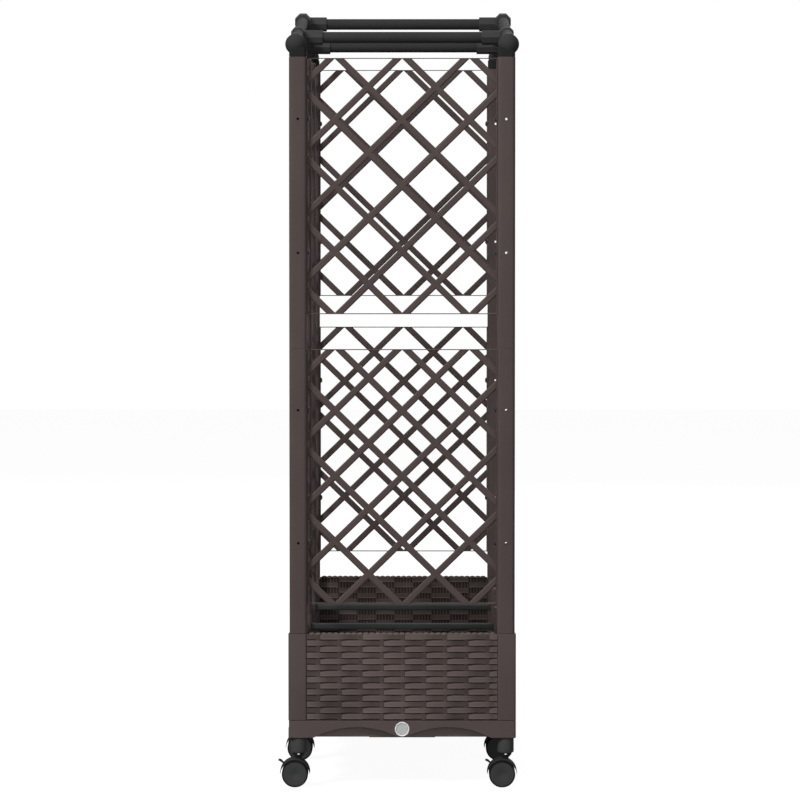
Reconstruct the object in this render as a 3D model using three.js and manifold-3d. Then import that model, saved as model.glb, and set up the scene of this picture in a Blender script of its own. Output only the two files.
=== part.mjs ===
// Planter with trellis: a trough of square modules in a row, on casters, with lattice panels on the left
// side and on both ends, and a gabled pipe frame above for hanging and tying plants.
// Millimetres, +Z up. The front end faces -Y and the trellis side is at -X.
// The origin lies on the floor below the middle of the planter.

import * as THREE from 'three';
import { mergeVertices } from 'three/addons/utils/BufferGeometryUtils.js';
import Module from 'manifold-3d';

const wasm = await Module();
wasm.setup();

// ---------------------------------------------------------------------------------------------------
// Driving dimensions
// ---------------------------------------------------------------------------------------------------

const bayCount = 3;               // modules in the row, so there is one more column than bays on each side
const pitchAcross = 371;          // post centre to post centre, left to right
const pitchAlong = 371;           // post centre to post centre, front to back
const fitGap = 0.3;               // clearance between pieces that touch

// Casters
const wheelRadius = 23.5;
const wheelWidth = 40;            // over both discs
const webGap = 9;                 // between the two discs
const axleRadius = 4;
const casterTrail = 6.5;          // from the swivel axis to the axle
const hoodClearance = 1.2;        // between tyre and hood
const hoodWall = 2.1;
const neckHeight = 7.5;           // from the top of the hood to the top of the neck
const neckRadius = 8;
const pinRadius = 3.5;            // steel stem
const pinShown = 3.3;             // bare stem between neck and housing
const pinDepth = 24;              // stem inside the tray's corner block
const housingRadius = 14;
const housingHeight = 27.4;
const webHalfWidth = 8;           // fork web, either side of the axle

// Brake lever
const leverAngle = 140;           // where the lever leaves the hood, degrees from +X round the axle
const leverHubDepth = 5;          // pivot inside the tyre's outline
const leverHubRadius = 3.2;
const leverThickness = 2.7;
const leverReach = 20.5;          // from the pivot to the tip
const pedalWidth = 16;
const pedalClearance = 1.5;       // between the hood and the wide part of the pedal
const leverTravel = 18;           // degrees that the pedal is pressed down
const leverSlack = 36;            // degrees of free slot on either side of the travel
const leverBridge = 5;            // depth of the web that carries the pivot

// Planter body
const bandHeight = 31;            // base band, from its lower edge to the foot of the woven walls
const skirtWall = 2.5;
const basinInset = 20;            // from the outer face to the water basin
const basinFloorRise = 3;         // of the basin's underside above the skirt's lower edge
const archRise = 19.3;
const archTip = 4.5;              // width left between two arches
const wallHeight = 155.2;         // woven wall
const wallThickness = 6;
const wallRecess = 3;             // wall behind the columns' outer face
const tongueDepth = 4;            // wall ends inside the columns' grooves
const columnMargin = 1.4;         // column wider than the post on it
const columnOutset = 1.5;         // column's centre outside the post's centre
const columnRadius = 4;
const columnBore = 18;
const grateThickness = 2.5;
const grateSlotLength = 240;
const grateSlotWidth = 12;
const grateSlotPitch = 92;
const crossMemberHeight = 14;
const crossMemberDepth = 24;
const crossMemberDrop = 18;       // its top below the rim
const plugRadius = 13.2;
const plugShaftRadius = 8;
const plugFlange = 4;
const plugProud = 1;
const plugRim = 1;                // boss round the plug's seat
const capHeight = 13;             // cap on the right mid columns
const capMargin = 1.6;            // cap narrower than the post whose place it takes

// Posts and trellis
const postWidth = 31.6;
const postRadius = 4.5;
const postWall = 2.3;
const spigotLength = 30;
const midCapHeight = 6;           // cap on the left mid posts
const trellisHeight = 456;
const trellisFoot = 53;           // rim to the lower panel
const tierGap = 62.5;             // between lower and upper panel
const trellisHead = 2;            // upper panel to the top of the post
const diamondWidth = 120;
const diamondHeight = 114;
const strapWidth = 11.8;
const strapThickness = 4;
const borderThickness = 1.8;
const borderDepth = 20;

// Top frame
const ballRadius = 18.6;
const ballRise = 22.5;            // ball centre above the post's top
const ballOutset = 4;             // ball centre outside the post's centre
const sleeveWidth = 31;
const railLift = 6;               // rail axis above the ball's centre, at the post
const railRise = 51.6;            // rail axis at the peak above its height at the post
const pipeRadius = 10.2;
const pipeWall = 1.4;
const pipeInsertion = 26;
const socketWall = 2;             // octagonal sleeves, at the middle of a flat
const peakWall = 4.25;            // the same round the rails at the peak
const socketLength = 42;          // elbow's rail socket, from the ball's centre
const teeLength = 46;
const peakLength = 40;            // from the ridge down each slope
const crossSleeveLength = 45;     // from the rail's axis inwards
const crossBarDrop = 6.5;         // cross bar's axis below the rail's axis
const sleeveSink = 6;             // the elbow's square sleeve ends this far below the ball's centre
const ridgeOverlap = 1.5;         // the two halves of a peak fitting meet past the ridge

// Facets of round pieces
const pipeSides = 12;
const pinSides = 8;
const drumSides = 16;
const ballSides = 12;
const hoodSegments = 4;           // in each quarter of the hood

const past = 1;                   // a cutter reaches this far past the face it cuts

// ---------------------------------------------------------------------------------------------------
// Levels and places that follow from them
// ---------------------------------------------------------------------------------------------------

const axleHeight = wheelRadius;
const hoodInner = wheelRadius + hoodClearance;
const hoodOuter = hoodInner + hoodWall;
const neckTop = axleHeight + hoodOuter + neckHeight;
const housingBottom = neckTop + pinShown;
const baseBottom = housingBottom + housingHeight + fitGap;
const bandTop = baseBottom + bandHeight;
const rim = bandTop + fitGap + wallHeight;
const lowerTrellisBottom = rim + trellisFoot;
const upperTrellisBottom = lowerTrellisBottom + trellisHeight + tierGap;
const postTop = upperTrellisBottom + trellisHeight + trellisHead;
const ballHeight = postTop + ballRise;

const postX = pitchAcross / 2;
const postY = (row) => (row - bayCount / 2) * pitchAlong;
const endY = postY(bayCount);
const columnWidth = postWidth + columnMargin;
const columnX = postX + columnOutset;
const outerX = columnX + columnWidth / 2;
const outerY = endY + columnOutset + columnWidth / 2;
const isEnd = (row) => row === 0 || row === bayCount;
const columnY = (row) => postY(row) + (isEnd(row) ? Math.sign(postY(row)) * columnOutset : 0);
const wallMiddleX = outerX - wallRecess - wallThickness / 2;
const wallMiddleY = outerY - wallRecess - wallThickness / 2;
const columnInnerX = columnX - columnWidth / 2;
const columnInnerY = columnY(bayCount) - columnWidth / 2;
const webThickness = webGap - 2 * fitGap;
const leverHubOffset = wheelRadius - leverHubDepth;
const socketFlats = 2 * (pipeRadius + fitGap + socketWall);
const peakFlats = 2 * (pipeRadius + peakWall);
const spigotWidth = postWidth - 2 * postWall - 2 * fitGap;
const plugHeight = baseBottom + bandHeight / 2;

// ---------------------------------------------------------------------------------------------------
// Materials
// ---------------------------------------------------------------------------------------------------

const finish = (color, roughness, metalness = 0) =>
  new THREE.MeshStandardMaterial({ color, roughness, metalness });
const brownPlastic = finish('#514744', 0.55);
const brownTray = finish('#443c39', 0.6);
const charcoalPlastic = finish('#3a3a3a', 0.5);
const charcoalPipe = finish('#363637', 0.4);
const tyrePlastic = finish('#3c3c3c', 0.6);
const plugPlastic = finish('#c6c6c4', 0.45);

// ---------------------------------------------------------------------------------------------------
// Helpers: closed solids from three.js geometries
// ---------------------------------------------------------------------------------------------------

const mergeDistance = 1e-4;
const degrees = THREE.MathUtils.degToRad;

function solidFrom(geometry) {
  const bare = geometry.clone();
  bare.deleteAttribute('uv');
  bare.deleteAttribute('normal');
  const merged = mergeVertices(bare, mergeDistance);
  const corners = merged.index.array;
  const triVerts = [];
  for (let i = 0; i < corners.length; i += 3) {
    const [a, b, c] = [corners[i], corners[i + 1], corners[i + 2]];
    if (a !== b && b !== c && c !== a) triVerts.push(a, b, c);
  }
  return new wasm.Manifold(new wasm.Mesh({
    numProp: 3,
    vertProperties: Float32Array.from(merged.attributes.position.array),
    triVerts: Uint32Array.from(triVerts),
  }));
}

function geometryFrom(solid) {
  const mesh = solid.getMesh();
  const geometry = new THREE.BufferGeometry();
  geometry.setAttribute('position', new THREE.BufferAttribute(Float32Array.from(mesh.vertProperties), 3));
  geometry.setIndex(new THREE.BufferAttribute(Uint32Array.from(mesh.triVerts), 1));
  return geometry;
}

const addAll = (solids) => solids.reduce((sum, solid) => sum.add(solid));

// A box from its lowest to its highest corner.
function block(x0, x1, y0, y1, z0, z1) {
  const geometry = new THREE.BoxGeometry(x1 - x0, y1 - y0, z1 - z0);
  geometry.translate((x0 + x1) / 2, (y0 + y1) / 2, (z0 + z1) / 2);
  return solidFrom(geometry);
}

// An upright square bar or bore about one axis.
const squareBlock = (width, x, y, z0, z1) =>
  block(x - width / 2, x + width / 2, y - width / 2, y + width / 2, z0, z1);

// An upright round bar.
function roundBar(radius, x, y, z0, z1, sides) {
  const geometry = new THREE.CylinderGeometry(radius, radius, z1 - z0, sides);
  geometry.rotateX(Math.PI / 2);
  geometry.translate(x, y, (z0 + z1) / 2);
  return solidFrom(geometry);
}

// A prism along X. With 8 sides it has a vertex on top.
function barAlongX(radius, x0, x1, y, z, sides) {
  const geometry = new THREE.CylinderGeometry(radius, radius, x1 - x0, sides);
  geometry.rotateZ(Math.PI / 2);
  geometry.translate((x0 + x1) / 2, y, z);
  return solidFrom(geometry);
}

// A prism along Y.
function barAlongY(radius, x, y0, y1, z, sides) {
  const geometry = new THREE.CylinderGeometry(radius, radius, y1 - y0, sides);
  geometry.translate(x, (y0 + y1) / 2, z);
  return solidFrom(geometry);
}

function roundedRectangle(width, depth, radius) {
  const x = width / 2 - radius;
  const y = depth / 2 - radius;
  const shape = new THREE.Shape();
  shape.absarc(x, y, radius, 0, Math.PI / 2);
  shape.absarc(-x, y, radius, Math.PI / 2, Math.PI);
  shape.absarc(-x, -y, radius, Math.PI, 1.5 * Math.PI);
  shape.absarc(x, -y, radius, 1.5 * Math.PI, 2 * Math.PI);
  return shape;
}

// An upright square bar with rounded edges.
function squareBar(width, radius, x, y, z0, z1) {
  const shape = roundedRectangle(width, width, radius);
  const settings = { depth: z1 - z0, bevelEnabled: false, curveSegments: 1 };
  const geometry = new THREE.ExtrudeGeometry(shape, settings);
  geometry.translate(x, y, z0);
  return solidFrom(geometry);
}

// A shape drawn in X and Z, given a thickness in Y about y = 0.
function plateInXZ(shape, thickness, curveSegments = 6) {
  const settings = { depth: thickness, bevelEnabled: false, curveSegments };
  const geometry = new THREE.ExtrudeGeometry(shape, settings);
  geometry.rotateX(Math.PI / 2);
  geometry.translate(0, thickness / 2, 0);
  return solidFrom(geometry);
}

const root = new THREE.Group();

function place(parent, name, source, material, x = 0, y = 0, z = 0, turn = 0) {
  const geometry = source.isBufferGeometry ? source : geometryFrom(source);
  const mesh = new THREE.Mesh(geometry, material.clone());
  mesh.name = name;
  mesh.position.set(x, y, z);
  mesh.rotation.z = turn;
  parent.add(mesh);
}

// Two numbers, the smaller one first.
const between = (a, b) => [Math.min(a, b), Math.max(a, b)];

const sides = [['left', -1], ['right', 1]];
const ends = [['front', 0], ['rear', bayCount]];

// ---------------------------------------------------------------------------------------------------
// Base trays: a skirt with arches, a water basin inside it, and solid corner blocks for the stems
// ---------------------------------------------------------------------------------------------------

function archCutter(span) {
  const radius = (span * span / 4 + archRise * archRise) / (2 * archRise);
  const half = Math.asin(span / 2 / radius);
  const shape = new THREE.Shape();
  shape.moveTo(span / 2, -past);
  shape.absarc(0, archRise - radius, radius, Math.PI / 2 - half, Math.PI / 2 + half);
  shape.lineTo(-span / 2, -past);
  return plateInXZ(shape, 3 * skirtWall, 4);
}

// Two arches side by side between two blocks, centred on the middle of the skirt's face.
function archPair(opening, turn, x, y) {
  const span = (opening - archTip) / 2;
  const shift = (span + archTip) / 2;
  const cutter = archCutter(span);
  const pair = cutter.translate([shift, 0, 0]).add(cutter.translate([-shift, 0, 0]));
  return pair.rotate([0, 0, turn]).translate([x, y, baseBottom]);
}

// The trays of the odd bays reach under both of their columns, and their neighbours stop short of them.
const holdsMidColumns = (bay) => bay % 2 === 1;

function baseTray(bay) {
  const atFront = bay === 0;
  const atRear = bay === bayCount - 1;
  const half = columnWidth / 2;
  const holdsLow = atFront || holdsMidColumns(bay);
  const holdsHigh = atRear || holdsMidColumns(bay);
  const low = columnY(bay) + (holdsLow ? -half : half + fitGap);
  const high = columnY(bay + 1) + (holdsHigh ? half : -half - fitGap);
  const below = baseBottom - past;

  const heldRows = [...(holdsLow ? [bay] : []), ...(holdsHigh ? [bay + 1] : [])];
  const feet = heldRows.flatMap((row) => sides.map(([, sign]) => [sign, row]));
  const blocks = addAll(feet.map(([sign, row]) =>
    squareBlock(columnWidth, sign * columnX, columnY(row), baseBottom, bandTop)));
  const bores = addAll(feet.map(([sign, row]) =>
    roundBar(pinRadius + fitGap, sign * postX, postY(row), below, baseBottom + pinDepth + past, pinSides)));

  const basinX = outerX - basinInset;
  const basinLow = low + (atFront ? basinInset : skirtWall);
  const basinHigh = high - (atRear ? basinInset : skirtWall);
  const basinBottom = baseBottom + basinFloorRise;
  const basin = block(-basinX, basinX, basinLow, basinHigh, basinBottom + skirtWall, bandTop + past);
  const shell = (z0, z1) => block(
    -basinX - skirtWall, basinX + skirtWall, basinLow - skirtWall, basinHigh + skirtWall, z0, z1);
  const innerX = outerX - skirtWall;
  const behindSkirt = block(-innerX, innerX, low + skirtWall, high - skirtWall, below, bandTop - skirtWall)
    .subtract(shell(below, bandTop));
  const hollows = basin.add(behindSkirt).add(shell(below, basinBottom));

  let tray = block(-outerX, outerX, low, high, baseBottom, bandTop).subtract(hollows);
  const openLow = columnY(bay) + half;
  const openHigh = columnY(bay + 1) - half;
  for (const [, sign] of sides) {
    const x = sign * (outerX - skirtWall / 2);
    tray = tray.subtract(archPair(openHigh - openLow, 90, x, (openLow + openHigh) / 2));
  }
  const endArches = (y) => archPair(2 * columnInnerX, 0, 0, y);
  if (atFront) tray = withPlugSeat(tray.subtract(endArches(-outerY + skirtWall / 2)));
  if (atRear) tray = tray.subtract(endArches(outerY - skirtWall / 2));
  return tray.add(blocks).subtract(bores);
}

function withPlugSeat(tray) {
  const alongY = (radius, y0, y1) => barAlongY(radius, 0, -outerY + y0, -outerY + y1, plugHeight, drumSides);
  const boss = alongY(plugRadius + plugRim, 0, basinInset);
  const seat = alongY(plugRadius + fitGap, -past, plugFlange);
  const hole = alongY(plugShaftRadius + fitGap, 0, basinInset + past);
  return tray.add(boss).subtract(seat).subtract(hole);
}

for (let bay = 0; bay < bayCount; bay += 1) {
  place(root, `base_tray_${bay + 1}`, baseTray(bay), brownTray);
}

// ---------------------------------------------------------------------------------------------------
// Columns and woven walls
// ---------------------------------------------------------------------------------------------------

const columnBottom = bandTop + fitGap;
const boreAt = (x, y, top) => squareBlock(columnBore, x, y, columnBottom - past, top);
const spigotAt = (x, y) => squareBar(spigotWidth, columnRadius, x, y, rim - past, rim + spigotLength);

function cornerColumn(sign, endSign) {
  const halfGroove = wallThickness / 2 + fitGap;
  const grooveDepth = tongueDepth + fitGap;
  const grooveX = sign * wallMiddleX;
  const grooveY = endSign * wallMiddleY;
  const [x0, x1] = between(sign * (columnInnerX - past), sign * (columnInnerX + grooveDepth));
  const [y0, y1] = between(endSign * (columnInnerY - past), endSign * (columnInnerY + grooveDepth));
  const endGroove = block(x0, x1, grooveY - halfGroove, grooveY + halfGroove, bandTop, rim + past);
  const sideGroove = block(grooveX - halfGroove, grooveX + halfGroove, y0, y1, bandTop, rim + past);
  const body = squareBar(
    columnWidth, columnRadius, sign * columnX, endSign * columnY(bayCount), columnBottom, rim);
  const [axisX, axisY] = [sign * postX, endSign * endY];
  return body.add(spigotAt(axisX, axisY)).subtract(boreAt(axisX, axisY, rim + spigotLength + past))
    .subtract(endGroove).subtract(sideGroove);
}

for (const [end, row] of ends) {
  const endSign = Math.sign(postY(row));
  for (const [side, sign] of sides) {
    place(root, `corner_column_${end}_${side}`, cornerColumn(sign, endSign), brownPlastic);
  }
  const tongueX = columnInnerX + tongueDepth;
  const [near, far] = [endSign * wallMiddleY - wallThickness / 2, endSign * wallMiddleY + wallThickness / 2];
  const wall = block(-tongueX, tongueX, near, far, columnBottom, rim);
  place(root, `end_wall_${end}`, wall, brownPlastic);
}

// The long walls carry their mid columns, with spigots for the posts on the left and caps on the right.
function sideWall(side, sign) {
  const wallX = sign * wallMiddleX;
  const tongueY = columnInnerY + tongueDepth;
  let wall = block(
    wallX - wallThickness / 2, wallX + wallThickness / 2, -tongueY, tongueY, columnBottom, rim);
  for (let row = 1; row < bayCount; row += 1) {
    const [x, y] = [sign * postX, postY(row)];
    const carriesPost = side === 'left';
    const head = carriesPost
      ? spigotAt(x, y)
      : squareBar(postWidth - capMargin, postRadius, x, y, rim - past, rim + capHeight);
    const boreTop = carriesPost ? rim + spigotLength + past : rim;
    const body = squareBar(columnWidth, columnRadius, sign * columnX, y, columnBottom, rim);
    wall = wall.add(body).add(head).subtract(boreAt(x, y, boreTop));
  }
  return wall;
}

for (const [side, sign] of sides) {
  place(root, `side_wall_${side}`, sideWall(side, sign), brownPlastic);
}

// ---------------------------------------------------------------------------------------------------
// Inside the trough: cross-members, water grate and drain plug
// ---------------------------------------------------------------------------------------------------

for (let row = 1; row < bayCount; row += 1) {
  const top = rim - crossMemberDrop;
  const half = columnInnerX - fitGap;
  const [y0, y1] = [postY(row) - crossMemberDepth / 2, postY(row) + crossMemberDepth / 2];
  const beam = block(-half, half, y0, y1, top - crossMemberHeight, top);
  place(root, `cross_member_${row}`, beam, brownTray);
}

function waterGrate() {
  const bottom = bandTop + fitGap;
  const top = bottom + grateThickness;
  const edgeX = wallMiddleX - wallThickness / 2 - fitGap;
  const edgeY = wallMiddleY - wallThickness / 2 - fitGap;
  let plate = block(-edgeX, edgeX, -edgeY, edgeY, bottom, top);
  for (let row = 0; row <= bayCount; row += 1) {
    for (const [, sign] of sides) {
      const notch = columnWidth + 2 * fitGap;
      plate = plate.subtract(squareBlock(notch, sign * columnX, columnY(row), bottom - past, top + past));
    }
  }
  const halfLength = grateSlotLength / 2;
  for (let bay = 0; bay < bayCount; bay += 1) {
    for (const step of [-1, 0, 1]) {
      const y = (postY(bay) + postY(bay + 1)) / 2 + step * grateSlotPitch;
      const [y0, y1] = [y - grateSlotWidth / 2, y + grateSlotWidth / 2];
      plate = plate.subtract(block(-halfLength, halfLength, y0, y1, bottom - past, top + past));
    }
  }
  return plate;
}
place(root, 'water_grate', waterGrate(), brownTray);

function drainPlug() {
  const shaftLength = basinInset;
  const profile = [
    [0, -plugProud],
    [plugRadius, -plugProud],
    [plugRadius, plugFlange - fitGap],
    [plugShaftRadius, plugFlange - fitGap],
    [plugShaftRadius, shaftLength],
    [0, shaftLength],
  ].map(([radius, along]) => new THREE.Vector2(radius, along));
  return new THREE.LatheGeometry(profile, drumSides);
}
place(root, 'drain_plug', solidFrom(drainPlug()), plugPlastic, 0, -outerY, plugHeight);

// ---------------------------------------------------------------------------------------------------
// Posts
// ---------------------------------------------------------------------------------------------------

function post(top, capped) {
  const bottom = rim + fitGap;
  const inner = postWidth - 2 * postWall;
  const tube = squareBar(postWidth, postRadius, 0, 0, bottom, capped ? top + midCapHeight : top);
  const hollow = squareBar(inner, postRadius - postWall, 0, 0, bottom - past, capped ? top : top + past);
  return tube.subtract(hollow);
}

const cornerPost = geometryFrom(post(postTop, false));
const midPost = geometryFrom(post(postTop, true));
for (const [end, row] of ends) {
  for (const [side, sign] of sides) {
    place(root, `corner_post_${end}_${side}`, cornerPost, brownPlastic, sign * postX, postY(row));
  }
}
for (let row = 1; row < bayCount; row += 1) {
  place(root, `mid_post_left_${row}`, midPost, brownPlastic, -postX, postY(row));
}

// ---------------------------------------------------------------------------------------------------
// Trellis panels: crossed straps in a thin border that stands between two posts
// ---------------------------------------------------------------------------------------------------

function trellisPanel(pitch) {
  const width = pitch - postWidth - 2 * fitGap;
  const half = width / 2;
  const overlap = borderThickness / 2;
  const outer = block(-half, half, -borderDepth / 2, borderDepth / 2, 0, trellisHeight);
  const opening = block(
    -half + borderThickness, half - borderThickness, -borderDepth, borderDepth,
    borderThickness, trellisHeight - borderThickness);
  const window = block(
    -half + overlap, half - overlap, -borderDepth, borderDepth, overlap, trellisHeight - overlap);

  const slope = Math.atan2(diamondHeight, diamondWidth);
  const length = 2 * (trellisHeight + strapWidth) / Math.sin(slope);
  const run = trellisHeight * diamondWidth / diamondHeight;
  const count = Math.ceil((half + run) / diamondWidth);
  const straps = [];
  for (let step = -count; step <= count; step += 1) {
    for (const lean of [-1, 1]) {
      const strap = new THREE.BoxGeometry(length, strapThickness, strapWidth);
      strap.rotateY(lean * slope);
      strap.translate(step * diamondWidth, 0, trellisHeight);
      straps.push(solidFrom(strap));
    }
  }
  const lattice = addAll(straps).intersect(window);
  return geometryFrom(outer.subtract(opening).add(lattice));
}

const tiers = [['lower', lowerTrellisBottom], ['upper', upperTrellisBottom]];
const endPanel = trellisPanel(pitchAcross);
const sidePanel = trellisPanel(pitchAlong);
for (const [tier, bottom] of tiers) {
  for (const [end, row] of ends) {
    place(root, `trellis_${end}_${tier}`, endPanel, brownPlastic, 0, postY(row), bottom);
  }
  for (let bay = 0; bay < bayCount; bay += 1) {
    const middle = (postY(bay) + postY(bay + 1)) / 2;
    const name = `trellis_left_${bay + 1}_${tier}`;
    place(root, name, sidePanel, brownPlastic, -postX, middle, bottom, Math.PI / 2);
  }
}

// ---------------------------------------------------------------------------------------------------
// Top frame: ball elbows, gable rails with their peak fitting, and cross bars with their tees
// ---------------------------------------------------------------------------------------------------

const railX = postX + ballOutset;
const railFoot = ballHeight + railLift;
const railSlope = Math.atan2(railRise, endY);
const railHeightAt = (y) => railFoot + railRise * (endY - Math.abs(y)) / endY;
const octagonRadius = (flats) => flats / 2 / Math.cos(Math.PI / 8);

// A prism along one slope of the gable, between two distances from the ridge measured along Y.
// An eighth turn of half a face puts a flat on top.
function alongSlope(radius, sideCount, endSign, x, nearRidge, farFromRidge) {
  const length = (farFromRidge - nearRidge) / Math.cos(railSlope);
  const middle = (nearRidge + farFromRidge) / 2;
  const geometry = new THREE.CylinderGeometry(radius, radius, length, sideCount);
  geometry.rotateY(Math.PI / sideCount);
  geometry.rotateX(-endSign * railSlope);
  geometry.translate(x, endSign * middle, railFoot + railRise * (endY - middle) / endY);
  return solidFrom(geometry);
}

const socketRadius = octagonRadius(socketFlats);
const pipeBore = pipeRadius + fitGap;
const socketMouth = endY - socketLength;

function cornerElbow(sign, endSign) {
  const ball = new THREE.SphereGeometry(ballRadius, ballSides, ballSides / 2);
  ball.translate(sign * railX, endSign * endY, ballHeight);
  const [x, y] = [sign * postX, endSign * endY];
  const sleeve = squareBar(sleeveWidth, postRadius, x, y, postTop + fitGap, ballHeight - sleeveSink);
  const spigot = squareBar(spigotWidth, columnRadius, x, y, postTop - spigotLength, postTop + fitGap + past);
  const socket = alongSlope(socketRadius, 8, endSign, sign * railX, socketMouth, endY);
  const bore = alongSlope(
    pipeBore, pipeSides, endSign, sign * railX, socketMouth - past, socketMouth + pipeInsertion);
  return solidFrom(ball).add(sleeve).add(spigot).add(socket).subtract(bore);
}

for (const [end, row] of ends) {
  for (const [side, sign] of sides) {
    const elbow = cornerElbow(sign, Math.sign(postY(row)));
    place(root, `corner_elbow_${end}_${side}`, elbow, charcoalPlastic);
  }
}

// Both rails of one side, from elbow to elbow, with the fitting that joins them at the ridge.
function gableRail(sign) {
  const x = sign * railX;
  const railEnd = socketMouth + pipeInsertion - fitGap;
  const parts = [-1, 1].flatMap((endSign) => [
    alongSlope(octagonRadius(peakFlats), 8, endSign, x, -ridgeOverlap, peakLength),
    alongSlope(pipeRadius, pipeSides, endSign, x, 0, railEnd),
  ]);
  const mouth = sign * (railX - crossSleeveLength);
  parts.push(barAlongX(socketRadius, ...between(x, mouth), 0, peakBarHeight, 8));
  const bores = [-1, 1].map((endSign) =>
    alongSlope(pipeRadius - pipeWall, pipeSides, endSign, x, peakLength / 2, railEnd + past));
  const boreX = between(mouth - sign * past, mouth + sign * pipeInsertion);
  bores.push(barAlongX(pipeBore, ...boreX, 0, peakBarHeight, pipeSides));
  return addAll(parts).subtract(addAll(bores));
}

const peakBarHeight = railHeightAt(0) - crossBarDrop;
for (const [side, sign] of sides) {
  place(root, `gable_rail_${side}`, gableRail(sign), charcoalPipe);
}

// A pipe over the middle of an end bay, with a tee at each end that slides on the rail.
function crossBarWithTees(endSign) {
  const distance = endY - pitchAlong / 2;
  const y = endSign * distance;
  const z = railHeightAt(y) - crossBarDrop;
  const parts = [barAlongX(pipeRadius, -railX, railX, y, z, pipeSides)];
  const bores = [barAlongX(pipeRadius - pipeWall, -railX, railX, y, z, pipeSides)];
  for (const [, sign] of sides) {
    const x = sign * railX;
    const [low, high] = [distance - teeLength / 2, distance + teeLength / 2];
    parts.push(barAlongX(socketRadius, ...between(x, x - sign * crossSleeveLength), y, z, 8));
    parts.push(alongSlope(socketRadius, 8, endSign, x, low, high));
    bores.push(alongSlope(pipeBore, pipeSides, endSign, x, low - past, high + past));
  }
  return addAll(parts).subtract(addAll(bores));
}
place(root, 'cross_bar_front', crossBarWithTees(-1), charcoalPipe);
place(root, 'cross_bar_rear', crossBarWithTees(1), charcoalPipe);

function peakBar() {
  const half = railX - crossSleeveLength + pipeInsertion - fitGap;
  return barAlongX(pipeRadius, -half, half, 0, peakBarHeight, pipeSides)
    .subtract(barAlongX(pipeRadius - pipeWall, -half - past, half + past, 0, peakBarHeight, pipeSides));
}
place(root, 'cross_bar_peak', peakBar(), charcoalPipe);

// ---------------------------------------------------------------------------------------------------
// Casters, drawn with the swivel axis at x = 0 and the axle trailing towards -X
// ---------------------------------------------------------------------------------------------------

const polar = (radius, angle) => [radius * Math.cos(degrees(angle)), radius * Math.sin(degrees(angle))];
const [leverHubX, leverHubZ] = polar(leverHubOffset, leverAngle);

function twinWheel() {
  const half = wheelWidth / 2;
  const profile = [
    [0, -half],
    [wheelRadius, -half],
    [wheelRadius, -webGap / 2],
    [axleRadius, -webGap / 2],
    [axleRadius, webGap / 2],
    [wheelRadius, webGap / 2],
    [wheelRadius, half],
    [0, half],
  ].map(([radius, along]) => new THREE.Vector2(radius, along));
  return geometryFrom(solidFrom(new THREE.LatheGeometry(profile, drumSides)));
}

// The wedge that the lever sweeps, seen along the axle.
function leverSweep() {
  const shape = new THREE.Shape();
  shape.moveTo(leverHubX, leverHubZ);
  const middle = leverAngle + leverTravel / 2;
  const half = leverTravel / 2 + leverSlack;
  for (const angle of [middle - half, middle, middle + half]) {
    const [x, z] = polar(leverReach, angle);
    shape.lineTo(leverHubX + x, leverHubZ + z);
  }
  return plateInXZ(shape, webGap);
}

function casterFork(braked) {
  const halfWeb = webThickness / 2;
  const hoodShape = new THREE.Shape();
  hoodShape.absarc(0, 0, hoodOuter, 0, Math.PI);
  hoodShape.absarc(0, 0, hoodInner, Math.PI, 0, true);
  const hood = plateInXZ(hoodShape, wheelWidth, hoodSegments);
  const boss = barAlongY(webHalfWidth, 0, -halfWeb, halfWeb, 0, pipeSides);
  const web = block(-webHalfWidth, webHalfWidth, -halfWeb, halfWeb, 0, hoodInner + hoodWall / 2);
  let fork = hood.add(boss).add(web);
  if (braked) {
    const clip = barAlongY(2 * leverHubRadius, leverHubX, -halfWeb, halfWeb, leverHubZ, pinSides);
    const bridge = block(
      leverHubX, -webHalfWidth + past, -halfWeb, halfWeb, leverHubZ - leverBridge, leverHubZ);
    const seat = barAlongY(leverHubRadius + fitGap, leverHubX, -webGap, webGap, leverHubZ, pinSides);
    fork = fork.add(clip).add(bridge).subtract(seat).subtract(leverSweep());
  }
  const bore = barAlongY(axleRadius + fitGap, 0, -webGap, webGap, 0, pipeSides);
  fork = fork.subtract(bore).translate([-casterTrail, 0, axleHeight]);

  const neck = roundBar(neckRadius, 0, 0, axleHeight + hoodInner, neckTop, pipeSides);
  const stem = roundBar(pinRadius, 0, 0, neckTop - past, baseBottom + pinDepth, pinSides);
  const housing = roundBar(housingRadius, 0, 0, housingBottom, baseBottom - fitGap, drumSides);
  return geometryFrom(fork.add(neck).add(stem).add(housing));
}

// The lever's hooked side outline follows a curve from its hub out through the hood to the tip.
// The curve's points are shares of the tip's distance across and up.
const leverBend = [[0, 0], [0.34, 0.4], [0.66, 0.82], [1, 0.94]];

function leverSide(fromFraction) {
  const [outX, outZ] = polar(leverReach, leverAngle);
  const route = new THREE.CatmullRomCurve3(
    leverBend.map(([across, up]) => new THREE.Vector3(across * outX, 0, up * outZ)));
  const steps = 4;
  const upper = [];
  const lower = [];
  for (let step = 0; step <= steps; step += 1) {
    const t = fromFraction + (1 - fromFraction) * step / steps;
    const point = route.getPoint(t);
    const along = route.getTangent(t);
    const offX = -along.z * leverThickness / 2;
    const offZ = along.x * leverThickness / 2;
    upper.push(new THREE.Vector2(point.x + offX, point.z + offZ));
    lower.unshift(new THREE.Vector2(point.x - offX, point.z - offZ));
  }
  return new THREE.Shape([...upper, ...lower]);
}

function brakeLever() {
  const armWidth = webThickness - 2 * fitGap;
  const hub = barAlongY(leverHubRadius, 0, -armWidth / 2, armWidth / 2, 0, pinSides);
  const arm = plateInXZ(leverSide(0), armWidth);
  const pedalStart = (hoodOuter + pedalClearance - leverHubOffset) / leverReach;
  const pedal = plateInXZ(leverSide(pedalStart), pedalWidth);
  const lever = hub.add(arm).add(pedal);
  return geometryFrom(lever.translate([leverHubX - casterTrail, 0, leverHubZ + axleHeight]));
}

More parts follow.
